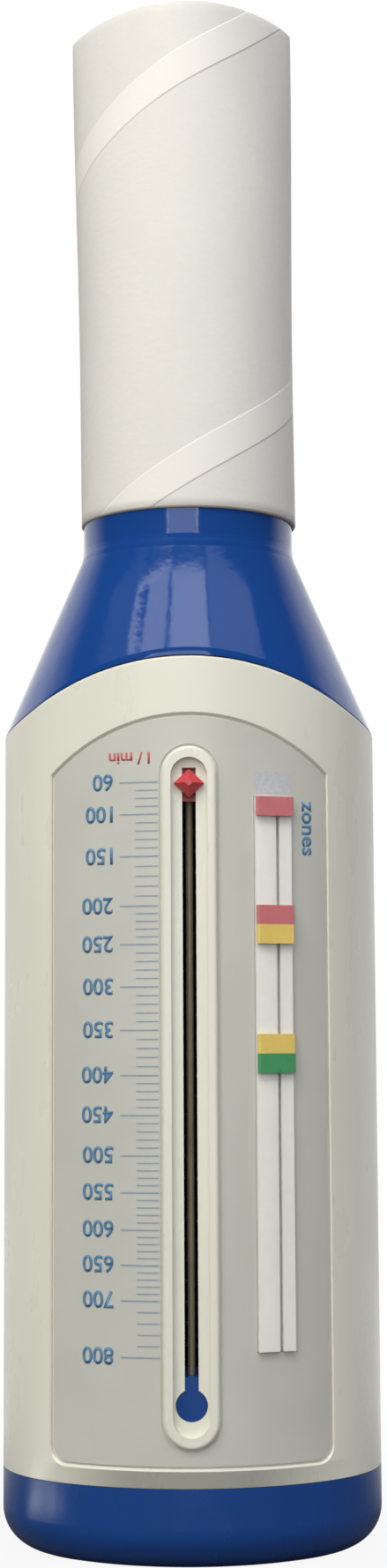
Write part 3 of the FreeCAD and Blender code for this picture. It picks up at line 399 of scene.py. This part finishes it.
def soft_foam(name, tone, cell, rough):
    """Closed-cell foam or rubber: dull, with a skin broken by small cells."""
    material, tree, shader, place = start_finish(name, IOR=1.5)
    cells = add(tree, "ShaderNodeTexVoronoi", {"Vector": place, "Scale": 1 / cell}).outputs["Distance"]
    tint(tree, shader, cells, tone, 0.8, 1.1)
    dull(tree, shader, cells, rough * 0.9, rough, 0.0, 1.0)
    raise_by(tree, shader, cells, cell * 0.08)
    return material


def wound_paperboard(sizes, tones):
    """Spiral-wound white paperboard: matte fibres, a lighter strip with a fine step at the seam, and painted
    shade along the strip's two edges.
    """
    material, tree, shader, place = start_finish("wound paperboard", IOR=1.5)
    parts = add(tree, "ShaderNodeSeparateXYZ", [place])
    back = add(tree, "ShaderNodeMath", [parts.outputs[1], -1.0], operation="MULTIPLY").outputs[0]
    turn = add(tree, "ShaderNodeMath", [parts.outputs[0], back], operation="ARCTAN2").outputs[0]
    rise = -sizes.seam_pitch / (2 * math.pi)
    drop = add(tree, "ShaderNodeMath", [turn, rise, parts.outputs[2]], operation="MULTIPLY_ADD").outputs[0]
    away = add(tree, "ShaderNodeMath", [drop, sizes.seam_start], operation="SUBTRACT").outputs[0]
    reach = sizes.seam_pitch / 2
    wound = add(tree, "ShaderNodeMath", [away, reach, -reach], operation="WRAP").outputs[0]
    off = add(tree, "ShaderNodeMath", [wound], operation="ABSOLUTE").outputs[0]
    half = sizes.seam_width / 2
    step = 0.00012
    strip = between(tree, off, 1.0, 0.0, half - step, half + step)
    # A thin line of painted shade darkens the paper along both edges of the seam strip.
    edge = add(tree, "ShaderNodeMath", [off, half], operation="SUBTRACT").outputs[0]
    line_off = add(tree, "ShaderNodeMath", [edge], operation="ABSOLUTE").outputs[0]
    edge_shade = between(tree, line_off, 1.0, 0.0, 0.00008, 0.00028)
    fibres = grain(tree, place, 0.0005, 5.0, (2.2, 2.2, 1))
    cloud = grain(tree, place, 0.008, 3.0, (1, 1, 2))
    body = blend_colour(tree, between(tree, cloud, 0.0, 1.0), shade(tones.paper, 0.95), tones.paper)
    mottled = blend_colour(tree, between(tree, fibres, 0.0, 0.5), body, shade(tones.paper, 0.93))
    lighter = blend_colour(tree, strip, mottled, shade(tones.paper, 1.07))
    edge_shaded = blend_colour(tree, between(tree, edge_shade, 0.0, 0.3, 0.0, 1.0), lighter, shade(tones.paper, 0.92))
    tree.links.new(edge_shaded, shader.inputs["Base Color"])
    dull(tree, shader, fibres, 0.62, 0.8)
    woven = raise_by(tree, shader, fibres, 0.00002)
    raise_by(tree, shader, strip, 0.00008, woven)
    return material


def raw_board(tones):
    """Raw cut edge of the paperboard: the plies show as fine rings."""
    material, tree, shader, place = start_finish("cut paperboard edge", IOR=1.5)
    parts = add(tree, "ShaderNodeSeparateXYZ", [place])
    flat = add(tree, "ShaderNodeCombineXYZ", {0: parts.outputs[0], 1: parts.outputs[1]})
    reach = add(tree, "ShaderNodeVectorMath", [flat.outputs[0]], operation="LENGTH").outputs["Value"]
    ply = 0.00035
    plies = add(tree, "ShaderNodeMath", [reach, 2 * math.pi / ply], operation="MULTIPLY").outputs[0]
    wave = add(tree, "ShaderNodeMath", [plies], operation="SINE").outputs[0]
    fibres = grain(tree, place, 0.0003, 4.0)
    ring = between(tree, wave, 0.0, 1.0, -1.0, 1.0)
    banded = blend_colour(tree, ring, shade(tones.board, 0.9), tones.board)
    tree.links.new(blend_colour(tree, between(tree, fibres, 0.0, 0.4), banded, shade(tones.board, 0.8)),
                   shader.inputs["Base Color"])
    shader.inputs["Roughness"].default_value = 0.9
    raise_by(tree, shader, fibres, 0.00003)
    return material


# Mesh helpers

def linked(thing):
    """The object itself, once it is in the scene."""
    bpy.context.scene.collection.objects.link(thing)
    return thing


def new_piece(name, mesh, body, slot, *materials):
    """Links a finished mesh as a piece that rides on a body and takes the materials given; slot is not used.
    """
    piece = linked(bpy.data.objects.new(name, mesh))
    for material in materials:
        piece.data.materials.append(material)
    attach(piece, body)
    return piece


def plain_mesh(name, thing):
    """The evaluated object as a mesh of its own; the object that made it is removed."""
    bpy.context.view_layer.update()
    graph = bpy.context.evaluated_depsgraph_get()
    mesh = bpy.data.meshes.new_from_object(thing.evaluated_get(graph))
    mesh.name = name
    source = thing.data
    bpy.data.objects.remove(thing)
    if isinstance(source, bpy.types.Curve):
        bpy.data.curves.remove(source)
    return mesh


def dress(material, *nodes):
    """Gives the named solids of the frame one finish."""
    for name in nodes:
        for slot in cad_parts[name].material_slots:
            slot.material = material


def face_depth(x, lift=0.0):
    """Y of the printed panel's face at x, raised by lift."""
    return FRONT_CENTRE - math.sqrt((FRONT_ARC + lift) ** 2 - x * x)


def wrap_print(mesh, lift, ink):
    """Lays a flat X-Z mesh on the panel's face as a closed sheet of ink."""
    work = bmesh.new()
    work.from_mesh(mesh)
    bmesh.ops.remove_doubles(work, verts=work.verts, dist=1e-7)
    bmesh.ops.triangulate(work, faces=work.faces)
    for face in work.faces:
        if face.normal.y > 0:
            face.normal_flip()
    front = list(work.faces)
    copy = bmesh.ops.duplicate(work, geom=work.verts[:] + work.edges[:] + front)
    back = [item for item in copy["geom"] if isinstance(item, bmesh.types.BMFace)]
    verts = set(work.verts)
    pairs = {a: b for a, b in copy["vert_map"].items() if isinstance(a, bmesh.types.BMVert) and a in verts}
    rims = [edge for face in front for edge in face.edges if len(edge.link_faces) == 1]
    bmesh.ops.reverse_faces(work, faces=back)
    for edge in set(rims):
        loop = edge.link_loops[0]
        first, second = loop.vert, loop.link_loop_next.vert
        work.faces.new((second, first, pairs[first], pairs[second]))
    for vert in {vert for face in back for vert in face.verts}:
        vert.co.y = face_depth(vert.co.x, lift - ink)
    for vert in {vert for face in front for vert in face.verts}:
        vert.co.y = face_depth(vert.co.x, lift)
    work.to_mesh(mesh)
    work.free()


# Pieces

class METER_OT_mouthpiece(bpy.types.Operator):
    """Makes the spiral-wound paper tube in place of the plain solid"""
    bl_idname = "meter.mouthpiece"
    bl_label = "Mouthpiece tube"

    def execute(self, context):
        sizes = context.scene.meter_mouthpiece
        tones = context.scene.meter_colours
        low, high = TUBE_LOW.z, TUBE_HIGH.z
        around, rows, bend = 192, 60, 3
        inner = sizes.radius - sizes.wall
        edge = sizes.edge
        # The section from the outside's foot, over the open end and down the inside: radius and height.
        profile = [(sizes.radius, low + edge + (high - low - 2 * edge) * n / rows) for n in range(rows + 1)]
        for n in range(1, bend + 1):
            a = math.pi / 2 * n / bend
            profile.append((sizes.radius - edge + edge * math.cos(a), high - edge + edge * math.sin(a)))
        for n in range(bend + 1):
            a = math.pi / 2 * n / bend
            profile.append((inner + edge - edge * math.sin(a), high - edge + edge * math.cos(a)))
        profile += [(inner, high - edge - (high - low - 2 * edge) * n / rows) for n in range(1, rows + 1)]
        profile += [(inner + edge, low), (sizes.radius - edge, low)]
        work = bmesh.new()
        rings = []
        for radius, height in profile:
            ring = []
            far = max(0.0, (height - sizes.squash_start) / (high - sizes.squash_start))
            oval = sizes.squash * far * far * (3 - 2 * far)
            top = (height - low) / (high - low)
            for step in range(around):
                angle = 2 * math.pi * step / around
                x = radius * math.sin(angle) * (1 + oval)
                front = math.cos(angle)
                y = -radius * front * (1 - oval) * (1 + (abs(front) - 1) * sizes.pinch * far ** 3)
                z = height + x * math.tan(sizes.skew) * top ** 6
                x -= (height - low - sizes.pivot) * math.tan(sizes.lean)
                ring.append(work.verts.new((x, y, z)))
            rings.append(ring)
        total = len(rings)
        for n in range(total):
            cut = rows + 2 <= n <= rows + 1 + bend or n >= total - 2
            here, after = rings[n], rings[(n + 1) % total]
            for step in range(around):
                nxt = (step + 1) % around
                face = work.faces.new((here[step], here[nxt], after[nxt], after[step]))
                face.smooth = True
                face.material_index = int(cut)
        mesh = bpy.data.meshes.new("paper_tube")
        work.to_mesh(mesh)
        work.free()
        piece = new_piece("paper_tube", mesh, "mouthpiece", "tube_paper",
                          wound_paperboard(sizes, tones), raw_board(tones))
        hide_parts("mouthpiece_tube")
        return {"FINISHED"}


class METER_OT_shells(bpy.types.Operator):
    """Gives the body, the cover, the cap and the cylinder their moulded finishes"""
    bl_idname = "meter.shells"
    bl_label = "Shells"

    def execute(self, context):
        tones = context.scene.meter_colours
        dress(moulded_abs("polished blue ABS", tones.blue, 0.09, 0.0012, hollow=NECK_BLEND), "main_body")
        dress(moulded_abs("satin blue ABS", tones.blue, 0.24, 0.0007), "end_cap")
        dress(moulded_abs("tube blue ABS", tones.blue, 0.24, 0.0007), "measuring_cylinder")
        dress(moulded_abs("satin cream ABS", tones.cream, 0.3, 0.0005, 0.03,
                          foot=(COVER_FOOT, LABEL_FOOT - FOOT_GAP)), "front_cover")
        return {"FINISHED"}


class METER_OT_scale(bpy.types.Operator):
    """Makes the panel's finish, the marks, the numbers and the unit"""
    bl_idname = "meter.scale_print"
    bl_label = "Scale print"

    def execute(self, context):
        sizes = context.scene.meter_scale
        tones = context.scene.meter_colours
        dress(printed_panel("printed polycarbonate", tones.panel), "scale_label")
        self.marks(sizes, screen_ink("mark ink", tones.mark_ink))
        self.words(sizes, tones)
        self.patch(sizes, screen_ink("patch ink", tones.patch_ink))
        return {"FINISHED"}

    def marks(self, sizes, ink):
        """One point for each mark, with its length and width; a node tree lays the strokes on the panel."""
        points, reaches, widths = [], [], []
        for (value, height), (after, lower) in zip(MARKS, MARKS[1:] + MARKS[-1:]):
            points.append((-sizes.mark_start, 0.0, height))
            reaches.append(sizes.long_mark)
            widths.append(sizes.long_width)
            step = LAST_GAP if after == MARKS[-1][0] else MARK_GAP
            for level in range(value + step, after, step):
                share = (level - value) / (after - value)
                points.append((-sizes.mark_start, 0.0, height + (lower - height) * share))
                reaches.append(sizes.short_mark)
                widths.append(sizes.short_width)
        mesh = bpy.data.meshes.new("mark_points")
        mesh.from_pydata(points, [], [])
        for name, values in (("reach", reaches), ("width", widths)):
            layer = mesh.attributes.new(name, "FLOAT", "POINT")
            layer.data.foreach_set("value", values)
        carrier = linked(bpy.data.objects.new("mark_points", mesh))
        tree, sockets = mark_tree()
        modifier = carrier.modifiers.new("Scale marks", "NODES")
        modifier.node_group = tree
        for name, value in (("Face radius", FRONT_ARC + sizes.lift), ("Face centre", FRONT_CENTRE),
                            ("Ink", sizes.ink), ("Material", ink)):
            modifier[sockets[name]] = value
        new_piece("scale_marks", plain_mesh("scale_marks", carrier), "housing", "label_grey")

    def words(self, sizes, tones):
        """The numbers beside their marks, the unit over them and the word beside the rail."""
        number_ink = screen_ink("number ink", tones.number_ink)
        unit_ink = screen_ink("unit ink", tones.unit_ink)
        for value, height in MARKS:
            self.word("number_%d" % value, str(value), sizes.digit_height, -sizes.digit_edge,
                      height + sizes.digit_rise, number_ink, sizes)
        self.word("unit_text", "l / min", sizes.unit_height, -sizes.unit_edge, sizes.unit_middle,
                  unit_ink, sizes, sizes.unit_length)
        self.word("zone_text", "zones", sizes.zone_height, sizes.zone_middle, sizes.zone_top,
                  number_ink, sizes, sizes.zone_length, True)

    def word(self, name, text, height, edge, middle, ink, sizes, reach=None, down=False):
        """A word turned upside down or read down the panel, from its near edge; reach is its fixed length."""
        curve = bpy.data.curves.new(name, "FONT")
        curve.body = text
        curve.size = 1.0
        curve.resolution_u = 4
        curve.offset = sizes.weight
        flat = plain_mesh(name, linked(bpy.data.objects.new(name, curve)))
        xs = [v.co.x for v in flat.vertices]
        ys = [v.co.y for v in flat.vertices]
        tall = DIGIT_TALL if text.isdigit() else max(ys) - min(ys)
        size = height / tall
        wide = reach / (max(xs) - min(xs)) if reach else size * DIGIT_SPREAD
        base = (max(ys) + min(ys)) / 2
        for vert in flat.vertices:
            along, up = (vert.co.x - min(xs)) * wide, (vert.co.y - base) * size
            vert.co = (edge + up, 0.0, middle - along) if down else (edge - along, 0.0, middle - up)
        wrap_print(flat, sizes.lift, sizes.ink)
        new_piece(name, flat, "housing", "label_grey", ink)

    def patch(self, sizes, ink):
        """The pale patch printed above the rail, with rounded corners."""
        left, right, low, high, corner = PATCH
        steps, strips = 4, 8
        work = bmesh.new()
        outline = []
        for cx, cz, turn in ((right - corner, high - corner, 0), (left + corner, high - corner, 1),
                             (left + corner, low + corner, 2), (right - corner, low + corner, 3)):
            for n in range(steps + 1):
                a = math.pi / 2 * (turn + n / steps)
                outline.append(work.verts.new((cx + corner * math.cos(a), 0.0, cz + corner * math.sin(a))))
        work.faces.new(outline)
        for n in range(1, strips):
            bmesh.ops.bisect_plane(work, geom=work.verts[:] + work.edges[:] + work.faces[:],
                                   plane_co=(left + (right - left) * n / strips, 0, 0), plane_no=(1, 0, 0))
        mesh = bpy.data.meshes.new("rail_patch")
        work.to_mesh(mesh)
        work.free()
        wrap_print(mesh, sizes.lift, sizes.ink)
        new_piece("rail_patch", mesh, "housing", "label_grey", ink)


def new_tree(name, sizes):
    """A geometry tree with a geometry in and out, and a named input for each size."""
    tree = bpy.data.node_groups.new(name, "GeometryNodeTree")
    tree.is_modifier = True
    tree.interface.new_socket("Geometry", in_out="INPUT", socket_type="NodeSocketGeometry")
    sockets = {}
    for label, kind in sizes:
        sockets[label] = tree.interface.new_socket(label, in_out="INPUT", socket_type=kind).identifier
    tree.interface.new_socket("Geometry", in_out="OUTPUT", socket_type="NodeSocketGeometry")
    return tree, sockets, add(tree, "NodeGroupInput").outputs


def close_tree(tree, geometry, material):
    """Ends a tree in real geometry with its material."""
    real = add(tree, "GeometryNodeRealizeInstances", {"Geometry": geometry}).outputs[0]
    painted = add(tree, "GeometryNodeSetMaterial", {"Geometry": real, "Material": material}).outputs[0]
    add(tree, "NodeGroupOutput", {0: painted})


def mark_tree():
    """Strokes on points: each point's reach and width size a grid, which is then laid on the panel's arc."""
    tree, sockets, given = new_tree("Scale marks", (
        ("Face radius", "NodeSocketFloat"), ("Face centre", "NodeSocketFloat"), ("Ink", "NodeSocketFloat"),
        ("Material", "NodeSocketMaterial")))
    grid = add(tree, "GeometryNodeMeshGrid", {"Size X": 1.0, "Size Y": 1.0, "Vertices X": 7, "Vertices Y": 2})
    stood = add(tree, "GeometryNodeTransform", {"Geometry": grid.outputs[0], "Rotation": (math.pi / 2, 0, 0),
                                                "Translation": (-0.5, 0, 0)})
    reach = add(tree, "GeometryNodeInputNamedAttribute", {"Name": "reach"}, data_type="FLOAT").outputs[0]
    width = add(tree, "GeometryNodeInputNamedAttribute", {"Name": "width"}, data_type="FLOAT").outputs[0]
    size = add(tree, "ShaderNodeCombineXYZ", [reach, 1.0, width]).outputs[0]
    strokes = add(tree, "GeometryNodeInstanceOnPoints", {
        "Points": given["Geometry"], "Instance": stood.outputs[0], "Scale": size}).outputs[0]
    real = add(tree, "GeometryNodeRealizeInstances", {"Geometry": strokes}).outputs[0]
    spot = add(tree, "ShaderNodeSeparateXYZ", [add(tree, "GeometryNodeInputPosition").outputs[0]])
    across = add(tree, "ShaderNodeMath", [spot.outputs[0], spot.outputs[0]], operation="MULTIPLY").outputs[0]
    radius = given["Face radius"]
    full = add(tree, "ShaderNodeMath", [radius, radius], operation="MULTIPLY").outputs[0]
    deep = add(tree, "ShaderNodeMath", [full, across], operation="SUBTRACT").outputs[0]
    root = add(tree, "ShaderNodeMath", [deep], operation="SQRT").outputs[0]
    front = add(tree, "ShaderNodeMath", [given["Face centre"], root], operation="SUBTRACT").outputs[0]
    laid = add(tree, "ShaderNodeCombineXYZ", [spot.outputs[0], front, spot.outputs[2]]).outputs[0]
    placed = add(tree, "GeometryNodeSetPosition", {"Geometry": real, "Position": laid}).outputs[0]
    back = add(tree, "ShaderNodeCombineXYZ", {1: given["Ink"]}).outputs[0]
    sunk = add(tree, "GeometryNodeExtrudeMesh", {"Mesh": placed, "Offset": back, "Offset Scale": 1.0,
                                                 "Individual": False})
    turned = add(tree, "GeometryNodeFlipFaces", {"Mesh": sunk.outputs[0]}).outputs[0]
    both = add(tree, "GeometryNodeJoinGeometry")
    tree.links.new(turned, both.inputs[0])
    tree.links.new(placed, both.inputs[0])
    closed = add(tree, "GeometryNodeMergeByDistance", {"Geometry": both.outputs[0], "Distance": 1e-7})
    close_tree(tree, closed.outputs[0], given["Material"])
    return tree, sockets


def spring_tree():
    """A spiral of wire whose end turns lie close, from its turns, height, coil and wire."""
    tree, sockets, given = new_tree("Return spring", (
        ("Turns", "NodeSocketFloat"), ("Height", "NodeSocketFloat"), ("Foot", "NodeSocketFloat"),
        ("Coil radius", "NodeSocketFloat"), ("Wire radius", "NodeSocketFloat"),
        ("End share", "NodeSocketFloat"), ("End rise", "NodeSocketFloat"),
        ("Material", "NodeSocketMaterial")))
    coil = add(tree, "GeometryNodeCurveSpiral", {
        "Resolution": 22, "Rotations": given["Turns"], "Start Radius": given["Coil radius"],
        "End Radius": given["Coil radius"], "Height": 1.0}).outputs[0]
    spot = add(tree, "ShaderNodeSeparateXYZ", [add(tree, "GeometryNodeInputPosition").outputs[0]])
    along = spot.outputs[2]
    late = add(tree, "ShaderNodeMath", [1.0, given["End share"]], operation="SUBTRACT").outputs[0]
    middle = add(tree, "ShaderNodeMath", [given["End rise"], -2.0, 1.0], operation="MULTIPLY_ADD").outputs[0]
    climbed = 0.0
    for start, stop, rise in ((0.0, given["End share"], given["End rise"]),
                              (given["End share"], late, middle), (late, 1.0, given["End rise"])):
        climb = between(tree, along, 0.0, rise, start, stop)
        climbed = add(tree, "ShaderNodeMath", [climbed, climb], operation="ADD").outputs[0]
    high = add(tree, "ShaderNodeMath", [climbed, given["Height"], given["Foot"]], operation="MULTIPLY_ADD")
    laid = add(tree, "ShaderNodeCombineXYZ", [spot.outputs[0], spot.outputs[1], high.outputs[0]]).outputs[0]
    path = add(tree, "GeometryNodeSetPosition", {"Geometry": coil, "Position": laid}).outputs[0]
    ring = add(tree, "GeometryNodeCurvePrimitiveCircle", {"Resolution": 8, "Radius": given["Wire radius"]})
    wire = add(tree, "GeometryNodeCurveToMesh", {"Curve": path, "Profile Curve": ring.outputs[0],
                                                 "Fill Caps": True})
    smooth = add(tree, "GeometryNodeSetShadeSmooth", {"Geometry": wire.outputs[0]}).outputs[0]
    close_tree(tree, smooth, given["Material"])
    return tree, sockets


class METER_OT_pointer(bpy.types.Operator):
    """Gives the pointer, its slider and its guide wire their finishes"""
    bl_idname = "meter.pointer"
    bl_label = "Pointer"

    def execute(self, context):
        tones = context.scene.meter_colours
        dress(small_moulding("red acetal", tones.red, 0.3), "pointer_head", "pointer_slider")
        dress(drawn_steel("browned steel wire", tones.wire, 0.45, 0.4), "pointer_guide_wire")
        return {"FINISHED"}


class METER_OT_zones(bpy.types.Operator):
    """Gives the zone rail and its sliding markers their finishes"""
    bl_idname = "meter.zone_markers"
    bl_label = "Zone rail and markers"

    def execute(self, context):
        tones = context.scene.meter_colours
        dress(small_moulding("white styrene rail", tones.rail, 0.35, 0.02, 0.35), "zone_track")
        dress(small_moulding("red styrene", tones.zone_red, 0.33), "marker_red_top", "marker_red_upper")
        dress(small_moulding("yellow styrene", tones.zone_yellow, 0.33), "marker_yellow_upper",
              "marker_yellow_lower")
        dress(small_moulding("green styrene", tones.zone_green, 0.33), "marker_green_lower")
        return {"FINISHED"}


class METER_OT_works(bpy.types.Operator):
    """Gives the piston, the rod, the seal and the other inner pieces their finishes"""
    bl_idname = "meter.inner_works"
    bl_label = "Inner works"

    def execute(self, context):
        tones = context.scene.meter_colours
        dress(small_moulding("white acetal", tones.white, 0.4), "inlet_spider", "cylinder_base",
              "piston_disc", "piston_pusher")
        dress(small_moulding("natural acetal", shade(tones.cream, 0.95), 0.35), "piston_bush")
        dress(drawn_steel("drawn stainless steel", tones.steel, 0.22), "guide_rod", "rod_clip",
              "pusher_rivet")
        dress(soft_foam("closed-cell foam", tones.foam, 0.0004, 0.9), "cylinder_seal")
        dress(soft_foam("nitrile rubber", tones.rubber, 0.0003, 0.75), "bump_stop")
        return {"FINISHED"}


class METER_OT_spring(bpy.types.Operator):
    """Winds the return spring in place of the coarse coil"""
    bl_idname = "meter.return_spring"
    bl_label = "Return spring"

    def execute(self, context):
        sizes = context.scene.meter_spring
        tones = context.scene.meter_colours
        tree, sockets = spring_tree()
        carrier = linked(bpy.data.objects.new("spring_wire", bpy.data.meshes.new("spring_wire")))
        modifier = carrier.modifiers.new("Return spring", "NODES")
        modifier.node_group = tree
        foot = SPRING_LOW.z + sizes.wire
        values = {"Turns": float(sizes.turns), "Height": SPRING_HIGH.z - sizes.wire - foot, "Foot": foot,
                  "Coil radius": sizes.radius, "Wire radius": sizes.wire, "End share": sizes.end_share,
                  "End rise": sizes.end_rise, "Material": drawn_steel("spring steel wire", tones.steel, 0.25)}
        for name, value in values.items():
            modifier[sockets[name]] = value
        piece = new_piece("spring_coil", plain_mesh("spring_coil", carrier), "housing", "spring_steel")
        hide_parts("return_spring")
        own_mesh(piece)
        return {"FINISHED"}


class METER_OT_stage(bpy.types.Operator):
    """Sets the floor, the white background, the lamps and the camera"""
    bl_idname = "meter.stage"
    bl_label = "Studio"

    def execute(self, context):
        sizes = context.scene.meter_studio
        self.floor()
        self.world(sizes)
        for name, source, share, size, place, aim, tone, missed in LAMPS:
            lamp = self.lamp(name, getattr(sizes, source) * share, size, place, aim)
            lamp.data.color = tone
            for rays in missed:
                setattr(lamp, "visible_" + rays, False)
        lens = bpy.data.cameras.new("photo_camera")
        lens.lens = sizes.lens
        lens.sensor_width = 36.0
        lens.clip_start = 0.01
        camera = linked(bpy.data.objects.new("photo_camera", lens))
        turn = Matrix.Rotation(math.pi / 2 + sizes.tilt, 4, "X") @ Matrix.Rotation(sizes.roll, 4, "Z")
        camera.matrix_world = Matrix.Translation((sizes.side, -sizes.distance, sizes.height)) @ turn
        context.scene.camera = camera
        context.scene.view_settings.view_transform = "Standard"
        return {"FINISHED"}

    def floor(self):
        """A wide pale sheet that keeps the object's shadow and fades to white away from it."""
        mesh = bpy.data.meshes.new("studio_floor")
        corners = [(x * FLOOR_REACH, y * FLOOR_REACH, 0) for x, y in ((-1, -1), (1, -1), (1, 1), (-1, 1))]
        mesh.from_pydata(corners, [], [(0, 1, 2, 3)])
        piece = linked(bpy.data.objects.new("studio_floor", mesh))
        material = bpy.data.materials.new("white paper sweep")
        material.use_nodes = True
        tree = material.node_tree
        tree.nodes.clear()
        matte = add(tree, "ShaderNodeBsdfDiffuse", {"Color": FLOOR_GREY}).outputs[0]
        glow = add(tree, "ShaderNodeEmission", {"Color": (1, 1, 1, 1), "Strength": 1.0}).outputs[0]
        place = add(tree, "ShaderNodeTexCoord").outputs["Object"]
        away = add(tree, "ShaderNodeVectorMath", [place], operation="LENGTH").outputs["Value"]
        fade = between(tree, away, *FLOOR_WHITE, *FLOOR_FADE)
        deep = add(tree, "ShaderNodeSeparateXYZ", [place]).outputs[1]
        behind = between(tree, deep, 0.0, 1.0, *FLOOR_BEHIND)
        clear = self.background_ray(tree, behind)
        seen = add(tree, "ShaderNodeMath", [clear, fade], operation="MULTIPLY").outputs[0]
        mixed = add(tree, "ShaderNodeMixShader", [seen, matte, glow]).outputs[0]
        add(tree, "ShaderNodeOutputMaterial", {"Surface": mixed})
        piece.data.materials.append(material)

    def background_ray(self, tree, behind):
        """1 for a ray from the camera or through a clear piece, and for one off a gloss that ends behind."""
        path = add(tree, "ShaderNodeLightPath").outputs
        gloss = add(tree, "ShaderNodeMath", [path["Is Glossy Ray"], behind], operation="MULTIPLY").outputs[0]
        clear = add(tree, "ShaderNodeMath", [path["Is Camera Ray"], path["Is Transmission Ray"]],
                    operation="MAXIMUM").outputs[0]
        return add(tree, "ShaderNodeMath", [clear, gloss], operation="MAXIMUM").outputs[0]

    def pane(self, tree, turn, rise, strength, left, right, low, high):
        """Light from a field of the room between two turns from the front, in degrees, and two rises."""
        left, right = math.radians(left), math.radians(right)
        low, high = math.sin(math.radians(low)), math.sin(math.radians(high))
        lit = strength
        for value, edge, soft in ((turn, left, PANE_SOFT_TURN), (turn, right, -PANE_SOFT_TURN),
                                  (rise, low, PANE_SOFT_RISE), (rise, high, -PANE_SOFT_RISE)):
            inside = between(tree, value, 0.0, 1.0, edge - soft, edge + soft)
            lit = add(tree, "ShaderNodeMath", [lit, inside], operation="MULTIPLY").outputs[0]
        return lit

    def world(self, sizes):
        """Room light; white behind for cameras and glosses; dim in front with bright fields for glosses."""
        world = bpy.data.worlds.new("studio_room")
        world.use_nodes = True
        tree = world.node_tree
        tree.nodes.clear()
        white = add(tree, "ShaderNodeBackground", {"Color": (1, 1, 1, 1), "Strength": 1.0}).outputs[0]
        place = add(tree, "ShaderNodeTexCoord").outputs["Generated"]
        parts = add(tree, "ShaderNodeSeparateXYZ", [place]).outputs
        side = between(tree, parts[0], sizes.room_left, sizes.room_right, -1.0, 1.0)
        path = add(tree, "ShaderNodeLightPath").outputs
        ahead = add(tree, "ShaderNodeMath", [parts[1], -1.0], operation="MULTIPLY").outputs[0]
        turn = add(tree, "ShaderNodeMath", [parts[0], ahead], operation="ARCTAN2").outputs[0]
        shown = sizes.gloss
        for share, *edges in PANES:
            lit = self.pane(tree, turn, parts[2], sizes.panes * share, *edges)
            shown = add(tree, "ShaderNodeMath", [lit, shown], operation="ADD").outputs[0]
        power = between(tree, path["Is Glossy Ray"], side, shown, 0.0, 1.0)
        room = add(tree, "ShaderNodeBackground", {"Color": (1, 1, 1, 1), "Strength": power}).outputs[0]
        behind = between(tree, parts[1], 0.0, 1.0, *ROOM_BEHIND)
        clear = self.background_ray(tree, behind)
        mixed = add(tree, "ShaderNodeMixShader", [clear, room, white]).outputs[0]
        add(tree, "ShaderNodeOutputWorld", {"Surface": mixed})
        bpy.context.scene.world = world

    def lamp(self, name, brightness, size, place, aim):
        """A flat lamp that faces aim; brightness is what its face shows, whatever its size."""
        light = bpy.data.lights.new(name, "AREA")
        light.shape = "RECTANGLE"
        light.size, light.size_y = size
        light.energy = brightness * math.pi * size[0] * size[1]
        lamp = linked(bpy.data.objects.new(name, light))
        direction = Vector(aim) - Vector(place)
        turn = direction.to_track_quat("-Z", "Y").to_matrix().to_4x4()
        lamp.matrix_world = Matrix.Translation(place) @ turn
        return lamp


class METER_PT_parts(bpy.types.Panel):
    """Lists the pieces and the sizes of the flow meter"""
    bl_idname = "METER_PT_parts"
    bl_label = "Peak flow meter"
    bl_space_type = "VIEW_3D"
    bl_region_type = "UI"
    bl_category = "Flow meter"

    def draw(self, context):
        for operator in OPERATORS:
            self.layout.operator(operator.bl_idname)
        for name, group in GROUPS:
            box = self.layout.box()
            for key in group.__annotations__:
                box.prop(getattr(context.scene, name), key)


GROUPS = (
    ("meter_mouthpiece", MouthpieceSizes), ("meter_scale", ScaleSizes), ("meter_spring", SpringSizes),
    ("meter_colours", FinishColours), ("meter_studio", StudioSizes),
)
OPERATORS = (
    METER_OT_mouthpiece, METER_OT_shells, METER_OT_scale, METER_OT_pointer, METER_OT_zones, METER_OT_works,
    METER_OT_spring, METER_OT_stage,
)


def register():
    for name, group in GROUPS:
        bpy.utils.register_class(group)
        setattr(bpy.types.Scene, name, PointerProperty(type=group))
    for operator in OPERATORS:
        bpy.utils.register_class(operator)
    bpy.utils.register_class(METER_PT_parts)


def unregister():
    bpy.utils.unregister_class(METER_PT_parts)
    for operator in reversed(OPERATORS):
        bpy.utils.unregister_class(operator)
    for name, group in reversed(GROUPS):
        delattr(bpy.types.Scene, name)
        bpy.utils.unregister_class(group)


def main():
    register()
    for operator in OPERATORS:
        family, name = operator.bl_idname.split(".")
        getattr(getattr(bpy.ops, family), name)()


if __name__ == "__main__":
    main()
